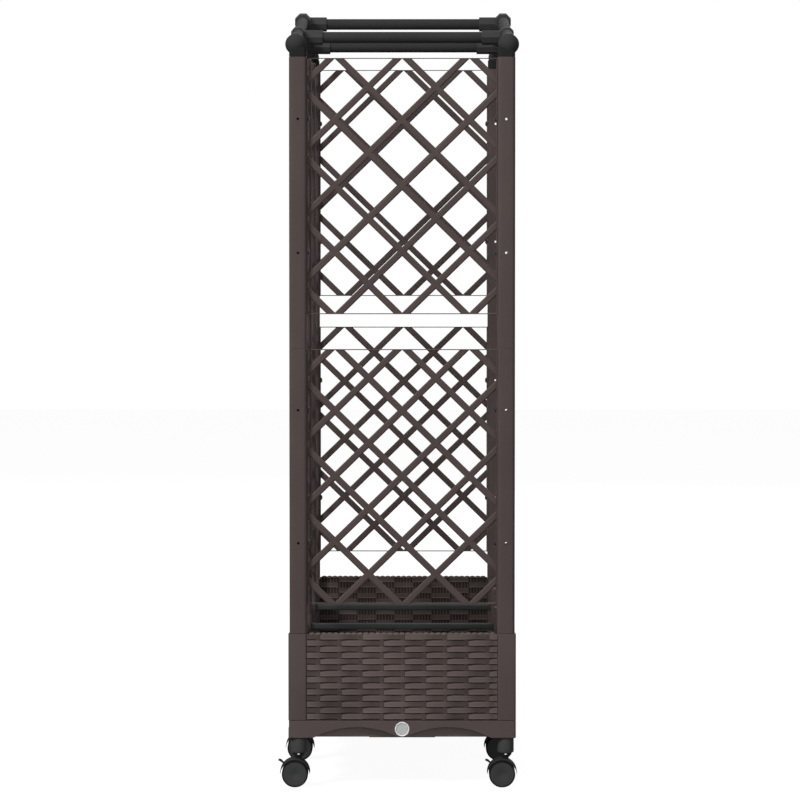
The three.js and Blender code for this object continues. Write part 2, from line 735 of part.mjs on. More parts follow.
const wheelShape = twinWheel();
const forkShapes = { plain: casterFork(false), braked: casterFork(true) };
const leverShape = brakeLever();
for (let row = 0; row <= bayCount; row += 1) {
  for (const [side, sign] of sides) {
    const label = `${side}_${row + 1}`;
    const caster = new THREE.Group();
    caster.position.set(sign * postX, postY(row), 0);
    caster.rotation.z = postY(row) < 0 ? 0 : Math.PI;
    const forkShape = isEnd(row) ? forkShapes.braked : forkShapes.plain;
    place(caster, `caster_fork_${label}`, forkShape, charcoalPlastic);
    place(caster, `caster_wheel_${label}`, wheelShape, tyrePlastic, -casterTrail, 0, axleHeight);
    if (isEnd(row)) place(caster, `brake_lever_${label}`, leverShape, charcoalPlastic);
    root.add(caster);
  }
}

export default root;
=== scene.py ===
# %% [markdown]
# # Planter with trellis
# A trough of three modules on casters, with woven-look walls, square posts, diamond lattice on the left
# side and on both ends, and a gabled frame of pipes on top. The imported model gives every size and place.
# This lesson gives each piece its fine shape and its finish. Lengths are in metres, and MM turns
# millimetres into them.

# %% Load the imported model
import math

import bmesh
import bpy
from mathutils import Matrix, Vector


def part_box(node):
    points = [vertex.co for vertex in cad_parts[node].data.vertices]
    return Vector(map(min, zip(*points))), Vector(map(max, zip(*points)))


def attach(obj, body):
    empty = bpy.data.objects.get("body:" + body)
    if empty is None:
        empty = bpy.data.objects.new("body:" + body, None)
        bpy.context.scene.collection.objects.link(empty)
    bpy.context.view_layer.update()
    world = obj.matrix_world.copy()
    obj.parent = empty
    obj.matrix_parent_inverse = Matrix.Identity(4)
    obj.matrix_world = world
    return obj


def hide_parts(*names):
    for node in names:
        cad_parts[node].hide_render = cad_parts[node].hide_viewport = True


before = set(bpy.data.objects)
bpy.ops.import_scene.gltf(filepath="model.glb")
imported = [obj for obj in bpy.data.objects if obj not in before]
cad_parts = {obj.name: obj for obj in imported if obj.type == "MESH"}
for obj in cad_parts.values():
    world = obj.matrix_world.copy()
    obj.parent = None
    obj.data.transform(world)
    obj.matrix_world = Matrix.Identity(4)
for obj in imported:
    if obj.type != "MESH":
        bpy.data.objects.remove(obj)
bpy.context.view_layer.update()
scene = bpy.context.scene
MM = 0.001

# %% [markdown]
# ## Measures
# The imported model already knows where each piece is, so the script asks it instead of repeating numbers.
# Posts stand in four rows from front to back. A bay is the space between two rows.

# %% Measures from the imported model
SIDES = {"left": -1, "right": 1}
ENDS = {"front": -1, "rear": 1}


def low_of(node):
    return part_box(node)[0]


def high_of(node):
    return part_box(node)[1]


def middle(node):
    return (low_of(node) + high_of(node)) / 2


def size(node):
    return high_of(node) - low_of(node)


post_x, end_y = middle("corner_post_rear_right").x, middle("corner_post_rear_right").y
bay_length = 2 * end_y / 3
row_y = [-end_y + bay_length * row for row in range(4)]
post_width = size("corner_post_front_left").x
post_bottom, post_top = low_of("corner_post_front_left").z, high_of("corner_post_front_left").z
rim = high_of("end_wall_front").z
band_top = low_of("end_wall_front").z
print("post pitch", round(2 * post_x, 4), "bay", round(bay_length, 4), "rim", round(rim, 4))

# %% [markdown]
# ## Rings, lofts and booleans
# Most of these pieces are mouldings or pipes: one section carried along a line. A loft joins rings of
# points with faces, so a chamfer is only one more ring, a little smaller. Windows and holes are cut
# afterwards with the Manifold solver, which needs closed meshes and keeps them closed.

# %% Mesh helpers
CREASE, MOULD_EDGE, FLAT = math.radians(32), math.radians(50), math.radians(1)
WELD, MODEL_WELD = 2e-6, 1e-5
X_AXIS, Y_AXIS, Z_AXIS = 0, 1, 2


def placed(name, data):
    """A new object in the scene that shows a mesh, a lamp or a camera."""
    thing = bpy.data.objects.new(name, data)
    scene.collection.objects.link(thing)
    return thing


def finished(bm, crease=CREASE):
    """Turns a bmesh into a mesh with outward faces, smooth apart from its real edges."""
    bmesh.ops.recalc_face_normals(bm, faces=bm.faces)
    mesh = bpy.data.meshes.new("shape")
    bm.to_mesh(mesh)
    bm.free()
    mesh.shade_smooth()
    mesh.set_sharp_from_angle(angle=crease)
    return mesh


def loft(rings, round_trip=False, crease=CREASE):
    """Joins rings of points with quads. The ends are closed, or else the last ring meets the first."""
    bm = bmesh.new()
    loops = [[bm.verts.new(point) for point in ring] for ring in rings]
    pairs = list(zip(loops, loops[1:]))
    if round_trip:
        pairs.append((loops[-1], loops[0]))
    else:
        bm.faces.new(loops[0])
        bm.faces.new(loops[-1])
    count = len(loops[0])
    for near, far in pairs:
        for i in range(count):
            bm.faces.new((near[i], near[(i + 1) % count], far[(i + 1) % count], far[i]))
    return finished(bm, crease)


def extruded(section, start, end, axis):
    """A section of point pairs, carried straight along one axis."""
    return loft([[Vector((*pair[:axis], along, *pair[axis:])) for pair in section]
                 for along in (start, end)])


def box_mesh(low, high):
    (x0, y0, z0), (x1, y1, z1) = low, high
    return extruded(((x0, y0), (x1, y0), (x1, y1), (x0, y1)), z0, z1, Z_AXIS)


def in_mm(pairs):
    """Pairs of numbers in millimetres, turned into metres."""
    return [(a * MM, b * MM) for a, b in pairs]


def rounded_ring(width, depth, radius, z, steps=5):
    """A rectangle with round corners, as points in XY at height z."""
    radius = max(radius, 1e-5)
    points = []
    for corner in range(4):
        x = (width / 2 - radius) * (1 if corner in (0, 3) else -1)
        y = (depth / 2 - radius) * (1 if corner in (0, 1) else -1)
        for step in range(steps + 1):
            angle = math.radians(90 * (corner + step / steps))
            points.append(Vector((x + radius * math.cos(angle), y + radius * math.sin(angle), z)))
    return points


def circle_ring(radius, z, sides, turn=0.0):
    angles = [turn + 2 * math.pi * i / sides for i in range(sides)]
    return [Vector((radius * math.cos(a), radius * math.sin(a), z)) for a in angles]


def turned(profile, sides=48, turn=0.0, crease=CREASE):
    """A solid of revolution about Z from (radius, z) pairs."""
    return loft([circle_ring(radius, z, sides, turn) for radius, z in profile], crease=crease)


def tube(profile, sides=48):
    """A turned solid with a bore: the profile runs outside and back inside."""
    return loft([circle_ring(radius, z, sides) for radius, z in profile], round_trip=True)


def at(x, y, z):
    return Matrix.Translation((x, y, z))


ALONG_X, ALONG_Y = Matrix.Rotation(math.pi / 2, 4, "Y"), Matrix.Rotation(-math.pi / 2, 4, "X")
MIRROR_Z = Matrix.Scale(-1, 4, Vector((0, 0, 1)))


def moved(mesh, *steps):
    """A copy of the mesh with the steps' places and turns, the last step first."""
    copy = mesh.copy()
    for step in reversed(steps):
        copy.transform(step)
        if step.determinant() < 0:
            copy.flip_normals()
    return copy


def joined(meshes, crease=CREASE):
    """One mesh from several, each with its own closed surface."""
    bm = bmesh.new()
    for mesh in meshes:
        bm.from_mesh(mesh)
    return finished(bm, crease)


def evaluated(thing):
    """The mesh of an object as its modifiers leave it."""
    graph = bpy.context.evaluated_depsgraph_get()
    return bpy.data.meshes.new_from_object(thing.evaluated_get(graph), depsgraph=graph)


def with_modifiers(mesh, modifiers, crease=CREASE):
    """Runs modifiers on a mesh and returns the plain result."""
    target = placed("target", mesh)
    for kind, settings in modifiers:
        modifier = target.modifiers.new(kind, kind)
        for key, value in settings.items():
            setattr(modifier, key, value)
    made = evaluated(target)
    bpy.data.objects.remove(target)
    bm = bmesh.new()
    bm.from_mesh(made)
    bmesh.ops.remove_doubles(bm, verts=bm.verts, dist=WELD)
    return finished(bm, crease)


def combined(base, operation, others, crease=CREASE):
    """Adds, cuts or intersects closed meshes, one after the other."""
    helpers = [placed("helper", other) for other in others]
    made = with_modifiers(base, [
        ("BOOLEAN", {"operation": operation, "object": helper, "solver": "MANIFOLD"}) for helper in helpers],
        crease)
    for helper in helpers:
        bpy.data.objects.remove(helper)
    return made


def eased(mesh, width):
    """Cuts every sharp edge back by a small width, as a mould does."""
    return with_modifiers(mesh, [("BEVEL", {
        "width": width, "segments": 1, "limit_method": "ANGLE", "angle_limit": MOULD_EDGE})])


def from_model(node):
    """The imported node's own shape with its triangles merged into plain faces."""
    bm = bmesh.new()
    bm.from_mesh(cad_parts[node].data)
    bmesh.ops.remove_doubles(bm, verts=bm.verts, dist=MODEL_WELD)
    bmesh.ops.dissolve_limit(bm, angle_limit=FLAT, verts=bm.verts, edges=bm.edges)
    return finished(bm)


print("mesh helpers ready")

# %% [markdown]
# ## Naming a piece
# A piece is an object with a name, a material and a body that it moves with. Where it takes the place
# of a plain node, that node is hidden. One function does all of that, so no piece can be left without its
# body.

# %% Naming a piece
def add_piece(name, mesh, material, body="planter", replaces=()):
    """Puts a finished mesh into the scene as one named piece that rides on a body."""
    mesh.name = name
    mesh.materials.clear()
    mesh.materials.append(material)
    mesh.polygons.foreach_set("material_index", [0] * len(mesh.polygons))
    piece = placed(name, mesh)
    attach(piece, body)
    if replaces:
        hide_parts(*replaces)


print("pieces will stand in for", len(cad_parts), "nodes")

# %% [markdown]
# ## Node trees as plain arithmetic
# Geometry Nodes and shader nodes share one way of wiring. `wired` adds a node and fills its inputs, and
# `Field` lets a socket be added and multiplied like a number, so that a pattern reads as a formula.

# %% Node helpers
def new_tree(name, kind, takes, gives):
    """A node group with named sockets: the tree, its input sockets and its output node."""
    tree = bpy.data.node_groups.new(name, kind)
    for direction, sockets in (("INPUT", takes), ("OUTPUT", gives)):
        for label, value in sockets.items():
            socket_kind, value = value if isinstance(value, tuple) else (value, None)
            socket = tree.interface.new_socket(
                label, in_out=direction, socket_type="NodeSocket" + socket_kind)
            if value is not None:
                socket.default_value = value
    return tree, tree.nodes.new("NodeGroupInput").outputs, tree.nodes.new("NodeGroupOutput")


def wired(tree, kind, inputs=None, **settings):
    """Adds a node, sets its properties, and links or sets its inputs."""
    node = tree.nodes.new(kind)
    for key, value in settings.items():
        setattr(node, key, value)
    for key, value in (inputs or {}).items():
        value = getattr(value, "socket", value)
        if isinstance(value, bpy.types.NodeSocket):
            tree.links.new(value, node.inputs[key])
        else:
            node.inputs[key].default_value = value
    return node


def vector_of(tree, **parts):
    """A vector socket from numbers or sockets for X, Y and Z. What is left out is zero."""
    return wired(tree, "ShaderNodeCombineXYZ", parts).outputs[0]


class Field:
    """A number socket. Its sums, products and remainders become Math nodes."""

    def __init__(self, tree, socket):
        self.tree, self.socket = tree, socket

    def math(self, operation, other=0.0):
        node = wired(self.tree, "ShaderNodeMath", {0: self, 1: other}, operation=operation)
        return Field(self.tree, node.outputs[0])

    def __add__(self, other):
        return self.math("ADD", other)

    def __sub__(self, other):
        return self.math("SUBTRACT", other)

    def __mul__(self, other):
        return self.math("MULTIPLY", other)

    def __truediv__(self, other):
        return self.math("DIVIDE", other)

    def __mod__(self, other):
        return self.math("FLOORED_MODULO", other)

    def floor(self):
        return self.math("FLOOR")

    def within(self, low, high):
        return self.math("MAXIMUM", low).math("MINIMUM", high)


def grown(tree, seed, sizes, crease=CREASE):
    """Runs a Geometry Nodes tree on a seed mesh and returns the plain mesh that it makes."""
    holder = placed("grown", seed)
    modifier = holder.modifiers.new("grown", "NODES")
    modifier.node_group = tree
    identifiers = {item.name: item.identifier for item in tree.interface.items_tree if item.in_out == "INPUT"}
    for label, value in sizes.items():
        modifier[identifiers[label]] = value
    mesh = evaluated(holder)
    holder.modifiers.remove(modifier)
    bpy.data.objects.remove(holder)
    mesh.shade_smooth()
    mesh.set_sharp_from_angle(angle=crease)
    return mesh


WINDOW_DEPTH = 0.1


def merged(tree, operation, *parts):
    """Joins closed parts, or keeps what they share, with the Manifold solver."""
    node = wired(tree, "GeometryNodeMeshBoolean", operation=operation, solver="MANIFOLD")
    for part in parts:
        tree.links.new(part, node.inputs["Mesh 2"])
    return node.outputs["Mesh"]


def windowed(tree, geometry, width, height, middle_z):
    """Keeps what lies inside an upright window in the XZ plane."""
    window = wired(tree, "GeometryNodeMeshCube", {"Size": vector_of(tree, X=width, Y=WINDOW_DEPTH, Z=height)})
    window = wired(tree, "GeometryNodeTransform", {
        "Geometry": window.outputs["Mesh"], "Translation": vector_of(tree, Z=middle_z)})
    return merged(tree, "INTERSECT", geometry, window.outputs[0])


def tree_end(tree, geometry, given, results):
    """The last nodes of every geometry tree: real geometry that carries its material."""
    real = wired(tree, "GeometryNodeRealizeInstances", {0: geometry})
    painted = wired(tree, "GeometryNodeSetMaterial", {0: real.outputs[0], "Material": given["Material"]})
    tree.links.new(painted.outputs[0], results.inputs[0])


print("node helpers ready")

# %% [markdown]
# ## The moulded surface
# The real planter is moulded in dark brown plastic with a fine spark-eroded grain, and its frame and
# casters are charcoal. A flat colour would look like paper. One shader group makes what all mouldings
# share: slow drifts of tone from the flow of the plastic, streaks along the piece, and a grain that
# changes the gloss and lifts the surface by some hundredths of a millimetre. It puts out a colour, a
# roughness and a normal, and each material keeps its own shader.

# %% The shared moulding effect
DRIFT_SCALE, DRIFT_SHARE = 9.0, 1.6
GRAIN_GLOSS, DRIFT_GLOSS = 0.22, 0.12


def linear(hex_colour):
    """A colour as it is seen on screen, turned into the linear values that shaders use."""
    channels = [int(hex_colour[i:i + 2], 16) / 255 for i in (1, 3, 5)]
    return (*[c / 12.92 if c <= 0.04045 else ((c + 0.055) / 1.055) ** 2.4 for c in channels], 1.0)


def noise(tree, vector, scale, detail=2.0, roughness=0.5):
    node = wired(tree, "ShaderNodeTexNoise", {
        "Vector": vector, "Scale": scale, "Detail": detail, "Roughness": roughness})
    return Field(tree, node.outputs["Fac"])


def blended(tree, share, first, second):
    mix = wired(tree, "ShaderNodeMix", {0: share, 6: first, 7: second}, data_type="RGBA")
    return mix.outputs[2]


moulding, given, results = new_tree("moulded surface", "ShaderNodeTree", {
    "Tone": "Color", "Second Tone": "Color", "Shade": ("Float", 0.0), "Matt": ("Float", 0.5),
    "Grain Size": ("Float", 0.9), "Grain Lift": ("Float", 0.02), "Streak": ("Float", 0.3),
    "Along": ("Vector", (1, 1, 1)),
}, {"Color": "Color", "Roughness": "Float", "Normal": "Vector"})
place = wired(moulding, "ShaderNodeTexCoord").outputs["Object"]
stretched = wired(moulding, "ShaderNodeVectorMath", {0: place, 1: given["Along"]}, operation="MULTIPLY")
drift = noise(moulding, place, DRIFT_SCALE, 3.0, 0.55) - 0.5
streak = (noise(moulding, stretched.outputs[0], 1.0, 4.0) - 0.5) * given["Streak"]
tone = (drift * DRIFT_SHARE + 0.5 + streak + given["Shade"]).within(0.0, 1.0)
grain_scale = Field(moulding, given["Grain Size"]).math("POWER", -1.0) * 1000.0
grain = noise(moulding, place, grain_scale, 2.0, 0.6)
matt = (grain - 0.5) * GRAIN_GLOSS + drift * DRIFT_GLOSS + given["Matt"]
lift = Field(moulding, given["Grain Lift"]) * MM
relief = wired(moulding, "ShaderNodeBump", {"Distance": lift, "Height": grain})
wired_results = {
    "Color": blended(moulding, tone, given["Tone"], given["Second Tone"]),
    "Roughness": matt.within(0.05, 1.0).socket, "Normal": relief.outputs["Normal"]}
for label, socket in wired_results.items():
    moulding.links.new(socket, results.inputs[label])
print("moulded surface:", len(moulding.nodes), "nodes")

# %% [markdown]
# ## Plastics
# Every plastic of the planter is this surface with its own two tones, gloss and grain. The woven walls
# also read two attributes. `tone` is one random number for each strip, so that neighbours differ a little,
# as real plaited strips do. The second says how deep a spot lies in the weave and darkens it there as
# painted shade, and below zero it paints a highlight on a lip. The frame and the casters have several
# charcoals: pipes, sleeves, balls and hoods are a little apart in tone, the elbow feet are painted darker
# for the shade under the balls, and the caster housings are painted lighter where the tray shades them.

# %% Plastics
def moulded(name, tone, second_tone, matt, specular=0.03, streak=0.3, along=(20, 20, 20),
            grain_size=0.9, grain_lift=0.02, strip_tones=0.0, painted_shade_tones=0.0):
    """A plastic: the shared effect feeds the material's own shader."""
    material = bpy.data.materials.new(name)
    material.use_nodes = True
    tree = material.node_tree
    shader = tree.nodes["Principled BSDF"]
    effect = wired(tree, "ShaderNodeGroup", node_tree=moulding)
    for label, value in (("Tone", linear(tone)), ("Second Tone", linear(second_tone)), ("Matt", matt),
                         ("Streak", streak), ("Along", along), ("Grain Size", grain_size),
                         ("Grain Lift", grain_lift)):
        effect.inputs[label].default_value = value
    if strip_tones:
        strip = wired(tree, "ShaderNodeAttribute", attribute_name="tone")
        # The attribute read here is painted shade: it darkens deep spots of the weave, and below zero it paints
        # a highlight.
        painted_shade = wired(tree, "ShaderNodeAttribute", attribute_name="painted_shade")
        shade = (Field(tree, strip.outputs["Fac"]) - 0.5) * strip_tones
        shade = shade + Field(tree, painted_shade.outputs["Fac"]) * painted_shade_tones - 0.5 * painted_shade_tones
        tree.links.new(shade.socket, effect.inputs["Shade"])
    for source, target in (("Color", "Base Color"), ("Roughness", "Roughness"), ("Normal", "Normal")):
        tree.links.new(effect.outputs[source], shader.inputs[target])
    shader.inputs["Specular IOR Level"].default_value = specular
    return material


brown = moulded("brown plastic", "#534947", "#4b4241", 0.6, along=(60, 60, 3))
# The second tone is where painted shade takes the woven strips, stakes and blocks.
weave_brown = moulded("brown woven plastic", "#605552", "#433a38", 0.6, streak=0.35, along=(20, 20, 900),
                      strip_tones=0.2, painted_shade_tones=0.7)
# Painted shade: the slab shows only in the deep gaps of the weave, so it is painted darker than the strips.
slab_painted_shade_brown = moulded("brown slab plastic, painted shade", "#372e2c", "#2d2624", 0.7)
tray_brown = moulded("brown tray plastic", "#584d4c", "#514746", 0.6, along=(6, 6, 60))
# Painted light: the basin is painted lighter to brighten the recess under the skirt.
basin_painted_light_brown = moulded("brown basin plastic, painted light", "#766b68", "#6f6461", 0.65, along=(6, 6, 60))
dark_plastic = moulded("blackish trough plastic", "#3d403e", "#373a38", 0.75, specular=0.02)
charcoal = moulded("charcoal plastic", "#3f3f40", "#39393a", 0.85, specular=0.02)
elbow_charcoal = moulded("smooth charcoal plastic", "#363637", "#313132", 0.8, specular=0.02)
# Painted shade: the elbow feet are painted darker for the shade under the balls.
foot_painted_shade_charcoal = moulded("deep charcoal plastic, painted shade", "#292829", "#252425", 0.85, specular=0.02)
fork_charcoal = moulded("dark charcoal plastic", "#303031", "#2b2b2c", 0.8, specular=0.02)
# Painted light: the caster housings are painted lighter, as the tray shades them.
housing_painted_light_charcoal = moulded("grey charcoal plastic, painted light", "#484849", "#434344", 0.8, specular=0.02)
pipe_coat = moulded("charcoal pipe coating", "#353536", "#2f2f30", 0.85, specular=0.02, streak=0.5,
                    along=(8, 8, 8), grain_size=1.8, grain_lift=0.012)
wheel_grey = moulded("dark grey wheel plastic", "#3f4040", "#3a3a3a", 0.6)
tyre_black = moulded("black tyre rubber", "#262727", "#202121", 0.8, specular=0.02)
# Light grey plastic, made lighter still on the ring as a painted highlight.
plug_ring_painted_highlight = moulded("light grey plug plastic, painted highlight", "#e8e8e6", "#e0e0de", 0.45)
print("materials so far, with the model's own:", len(bpy.data.materials))

# %% [markdown]
# ## Steels
# The casters' stems are turned steel, and the panel screws are blackened steel. A lathe leaves fine rings
# round the stem, so the noise is stretched flat and read along its height.

# %% Steels
def turned_metal(name, tone, matt):
    """Bright or blackened metal with fine rings left by the lathe."""
    material = bpy.data.materials.new(name)
    material.use_nodes = True
    tree = material.node_tree
    shader = tree.nodes["Principled BSDF"]
    spot = wired(tree, "ShaderNodeTexCoord").outputs["Object"]
    rings = wired(tree, "ShaderNodeVectorMath", {0: spot, 1: (20.0, 20.0, 2500.0)}, operation="MULTIPLY")
    marks = noise(tree, rings.outputs[0], 1.0, 3.0)
    bright = linear(tone)
    worn = (*[0.8 * c for c in bright[:3]], 1.0)
    tree.links.new(blended(tree, marks, bright, worn), shader.inputs["Base Color"])
    tree.links.new(((marks - 0.5) * 0.25 + matt).socket, shader.inputs["Roughness"])
    shader.inputs["Metallic"].default_value = 1.0
    return material


steel = turned_metal("turned steel", "#c9c9c7", 0.3)
black_steel = turned_metal("blackened steel", "#2a2a2b", 0.45)
print("metals:", steel.name, "and", black_steel.name)

# %% [markdown]
# ## Camera, floor and light
# The photograph is taken from far in front of one end with a long lens, a little above the middle. The
# distance and height come from how much smaller the far end looks and where the levels meet. The floor is
# pale and plain. It and the world are white to the camera and in reflections, but the floor still takes
# the planter's soft shadow.

# %% Camera
CAMERA_PLACE = (0.023, -8.828, 1.122)
CAMERA_DOWN, CAMERA_LEFT = math.radians(2.966), math.radians(0.186)
camera_data = bpy.data.cameras.new("photo camera")
camera_data.lens, camera_data.sensor_width = 208.68, 36.0
camera_data.clip_end = 100.0
camera = placed("photo camera", camera_data)
camera.location = CAMERA_PLACE
camera.rotation_euler = (math.pi / 2 - CAMERA_DOWN, 0.0, CAMERA_LEFT)
scene.camera = camera
scene.view_settings.view_transform = "Standard"
print("camera", CAMERA_PLACE, "lens", camera_data.lens)

# %% [markdown]
# ## Floor and world
# A studio sweep could be modelled, but a flat floor is enough here. Floor and world give off white only
# for rays that the camera or a reflection sends out, so the background stays white while the lamps alone
# shape the planter. What is left for other rays is a weak grey light from all round.
# %% Floor and world
def seen_directly(tree):
    """1 for rays from the camera, from reflections and through glass, and 0 for light on the object."""
    path = wired(tree, "ShaderNodeLightPath")
    seen = Field(tree, path.outputs["Is Camera Ray"]).math("MAXIMUM", path.outputs["Is Glossy Ray"])
    return seen.math("MAXIMUM", path.outputs["Is Transmission Ray"])


AMBIENT = 0.14
world = bpy.data.worlds.new("white studio")
world.use_nodes = True
scene.world = world
sky = world.node_tree.nodes["Background"]
sky.inputs["Color"].default_value = (1, 1, 1, 1)
strength = seen_directly(world.node_tree) * (1.0 - AMBIENT) + AMBIENT
world.node_tree.links.new(strength.socket, sky.inputs["Strength"])

FLOOR_HALF, FLOOR_DEPTH, FLOOR_GREY, FLOOR_GLOW = 12.0, 0.02, 0.15, 0.95
floor_mesh = box_mesh((-FLOOR_HALF, -FLOOR_HALF, -FLOOR_DEPTH), (FLOOR_HALF, FLOOR_HALF, 0.0))
floor = placed("floor", floor_mesh)
floor_paint = bpy.data.materials.new("pale floor")
floor_paint.use_nodes = True
tree = floor_paint.node_tree
shader = tree.nodes["Principled BSDF"]
shader.inputs["Base Color"].default_value = (FLOOR_GREY, FLOOR_GREY, FLOOR_GREY, 1)
shader.inputs["Roughness"].default_value = 1.0
shader.inputs["Specular IOR Level"].default_value = 0.0
shader.inputs["Emission Color"].default_value = (1, 1, 1, 1)
tree.links.new((seen_directly(tree) * FLOOR_GLOW).socket, shader.inputs["Emission Strength"])
floor_mesh.materials.append(floor_paint)
print("floor", 2 * FLOOR_HALF, "m wide")

# %% [markdown]
# ## Lamps
# Five soft boxes light the planter. The key stands high on the left in front and gives the left faces
# their edge. The front box lights the end wall, the side box opens the right faces a little, the top box
# picks out the caps and pipes, and the rear box shines through the lattice. Their size keeps the
# shadows soft, as in the photo.

# %% Lamps
def lamp(name, place, aim, width, watts):
    """A square soft box at a place, turned to aim at a point."""
    data = bpy.data.lights.new(name, "AREA")
    data.size, data.energy = width, watts
    box = placed(name, data)
    box.location = place
    box.rotation_euler = (Vector(aim) - Vector(place)).to_track_quat("-Z", "Y").to_euler()


AIM, TOP_AIM = (0.0, -0.2, 0.7), (0, 0, 1.2)
lamp("key", (-4.0, -4.9, 4.8), AIM, 1.6, 400)
lamp("front", (0.4, -8.0, 1.1), AIM, 2.6, 125)
lamp("side", (3.6, -4.6, 2.4), AIM, 2.2, 26)
lamp("top", (-0.5, -1.4, 4.6), TOP_AIM, 1.8, 60)
lamp("rear", (1.5, 6.0, 3.0), AIM, 3.0, 160)
print("lamps:", len(bpy.data.lights))

# %% [markdown]
# ## Posts
# Each post is a square tube with round corners, in two lengths that meet just above the lower lattice.
# The seam shows as a fine groove. Small holes go through the post at the height of every screw, both
# ways, so that any face can carry a panel. A loft gives the tube, its groove and its chamfered ends in
# one go, and a boolean drills the holes.

# %% Post sizes and screw levels
POST_RADIUS, POST_WALL = 6.5 * MM, 2.3 * MM
SEAM_GROOVE, END_CHAMFER, HOLE_RADIUS = 0.45 * MM, 0.5 * MM, 2.3 * MM
SCREW_RISES = (109.6 * MM, 347.6 * MM)
panel_bottoms = {tier: low_of(f"trellis_front_{tier}").z for tier in ("lower", "upper")}
panel_width, panel_height = size("trellis_front_lower").x, size("trellis_front_lower").z
screw_levels = [bottom + rise for bottom in panel_bottoms.values() for rise in SCREW_RISES]
seam_z = high_of("trellis_front_lower").z + 1.5 * MM
print("screw levels", [round(z, 4) for z in screw_levels], "seam", round(seam_z, 4))

# %% Post tube
def square_ring(width, radius, inset, z):
    """A square ring with round corners, smaller by an inset on every side."""
    return rounded_ring(width - 2 * inset, width - 2 * inset, radius - inset, z)


def square_solid(width, radius, profile):
    """A solid of square rings, one for each (inset, height) pair."""
    return loft([square_ring(width, radius, inset, z) for inset, z in profile])


def post_tube(bottom, top):
    """A tube with a seam, open at both ends."""
    outside = [(END_CHAMFER, bottom), (0, bottom + END_CHAMFER), (0, seam_z - SEAM_GROOVE),
               (SEAM_GROOVE, seam_z), (0, seam_z + SEAM_GROOVE), (0, top - END_CHAMFER), (END_CHAMFER, top)]
    inside = [(POST_WALL, top), (POST_WALL, bottom)]
    return loft([square_ring(post_width, POST_RADIUS, inset, z) for inset, z in outside + inside],
                round_trip=True)


def drills(turn, levels):
    """Round cutters through the post, one at each level."""
    bar = turned([(HOLE_RADIUS, -post_width), (HOLE_RADIUS, post_width)], 16)
    return joined([moved(bar, at(0, 0, z), turn) for z in levels])


post = combined(post_tube(post_bottom, post_top), "DIFFERENCE",
                [drills(ALONG_X, screw_levels), drills(ALONG_Y, screw_levels)])
post_places = {f"corner_post_{end}_{side}": (sx * post_x, sy * end_y)
               for end, sy in ENDS.items() for side, sx in SIDES.items()}
post_places.update({f"mid_post_left_{row}": (-post_x, row_y[row]) for row in (1, 2)})
for node, (x, y) in post_places.items():
    add_piece(f"{node}_tube", moved(post, at(x, y, 0)), brown, replaces=[node])
print("posts:", len(post_places), "of", len(post.polygons), "faces")

# %% [markdown]
# ## Caps
# The two mid posts carry no pipe, so a cap closes each of them. It is a shallow crown on a flange, with a
# plug that goes down into the tube. The right side has no posts, and stubs with higher caps close the
# sockets of its two mid columns. Both are lofts of square rings that shrink towards the crown.

# %% Caps
CAP_PLUG, SIDE_CAP_WIDTH = POST_WALL + 0.3 * MM, post_width - 1.6 * MM
mid_cap = square_solid(post_width, POST_RADIUS, [
    (CAP_PLUG, -14 * MM), (CAP_PLUG, 0.1 * MM),
    *in_mm(((0, 0.1), (-0.1, 2.2), (0.7, 3.2), (2.4, 4.4), (9, 5.9)))])
side_cap = square_solid(SIDE_CAP_WIDTH, POST_RADIUS, in_mm((
    (2, -12), (2, 0.1), (0.6, 0.1), (0, 0.7), (0, 9.6), (0.7, 10.8), (2.6, 11.8), (9, 12.9))))
caps = {"post_cap_left": (mid_cap, -post_x, post_top), "column_cap_right": (side_cap, post_x, rim)}
for label, (mesh, x, z) in caps.items():
    for row in (1, 2):
        add_piece(f"{label}_{row}", moved(mesh, at(x, row_y[row], z)), brown)
print("caps:", 2 * len(caps), "on", sorted(caps))

# %% [markdown]
# ## Lattice panels
# A panel is one moulding: straps that cross at the slope of the diamonds, in a thin deep border that the
# screws hold to the posts. The straps repeat at one pitch, so Geometry Nodes lay them out. Two leaning
# sets are merged with the Manifold solver, cut to the window and merged with the border, which leaves one
# clean closed body. The strap's section has bevelled shoulders, and these give the dark edges that the
# real straps show.

# %% Lattice tree
lattice, given, results = new_tree("crossed straps", "GeometryNodeTree", {
    "Strap": "Geometry", "Border": "Object", "Width": ("Float", 0.3388), "Height": ("Float", 0.456),
    "Diamond Width": ("Float", 0.12), "Diamond Height": ("Float", 0.117), "Start": ("Float", 0.46),
    "Reach": ("Int", 6), "Overlap": ("Float", 0.0009), "Material": "Material",
}, {"Panel": "Geometry"})
slope = Field(lattice, given["Diamond Height"]).math("ARCTAN2", given["Diamond Width"])
number = Field(lattice, wired(lattice, "GeometryNodeInputIndex").outputs[0])
spot = vector_of(lattice, X=(number - given["Reach"]) * given["Diamond Width"], Z=given["Start"])
count = Field(lattice, given["Reach"]) * 2 + 1
points = wired(lattice, "GeometryNodePoints", {"Count": count, "Position": spot})
leaning = []
for lean in (-1, 1):
    turn = wired(lattice, "FunctionNodeEulerToRotation", {"Euler": vector_of(lattice, Y=slope * lean)})
    copies = wired(lattice, "GeometryNodeInstanceOnPoints", {
        "Points": points.outputs[0], "Instance": given["Strap"], "Rotation": turn.outputs[0]})
    leaning.append(wired(lattice, "GeometryNodeRealizeInstances", {0: copies.outputs[0]}).outputs[0])
trimmed = windowed(
    lattice, merged(lattice, "UNION", *leaning),
    Field(lattice, given["Width"]) - given["Overlap"] - given["Overlap"],
    Field(lattice, given["Height"]) - given["Overlap"] - given["Overlap"],
    Field(lattice, given["Height"]) / 2)
border = wired(lattice, "GeometryNodeObjectInfo", {"Object": given["Border"]})
tree_end(lattice, merged(lattice, "UNION", trimmed, border.outputs["Geometry"]), given, results)
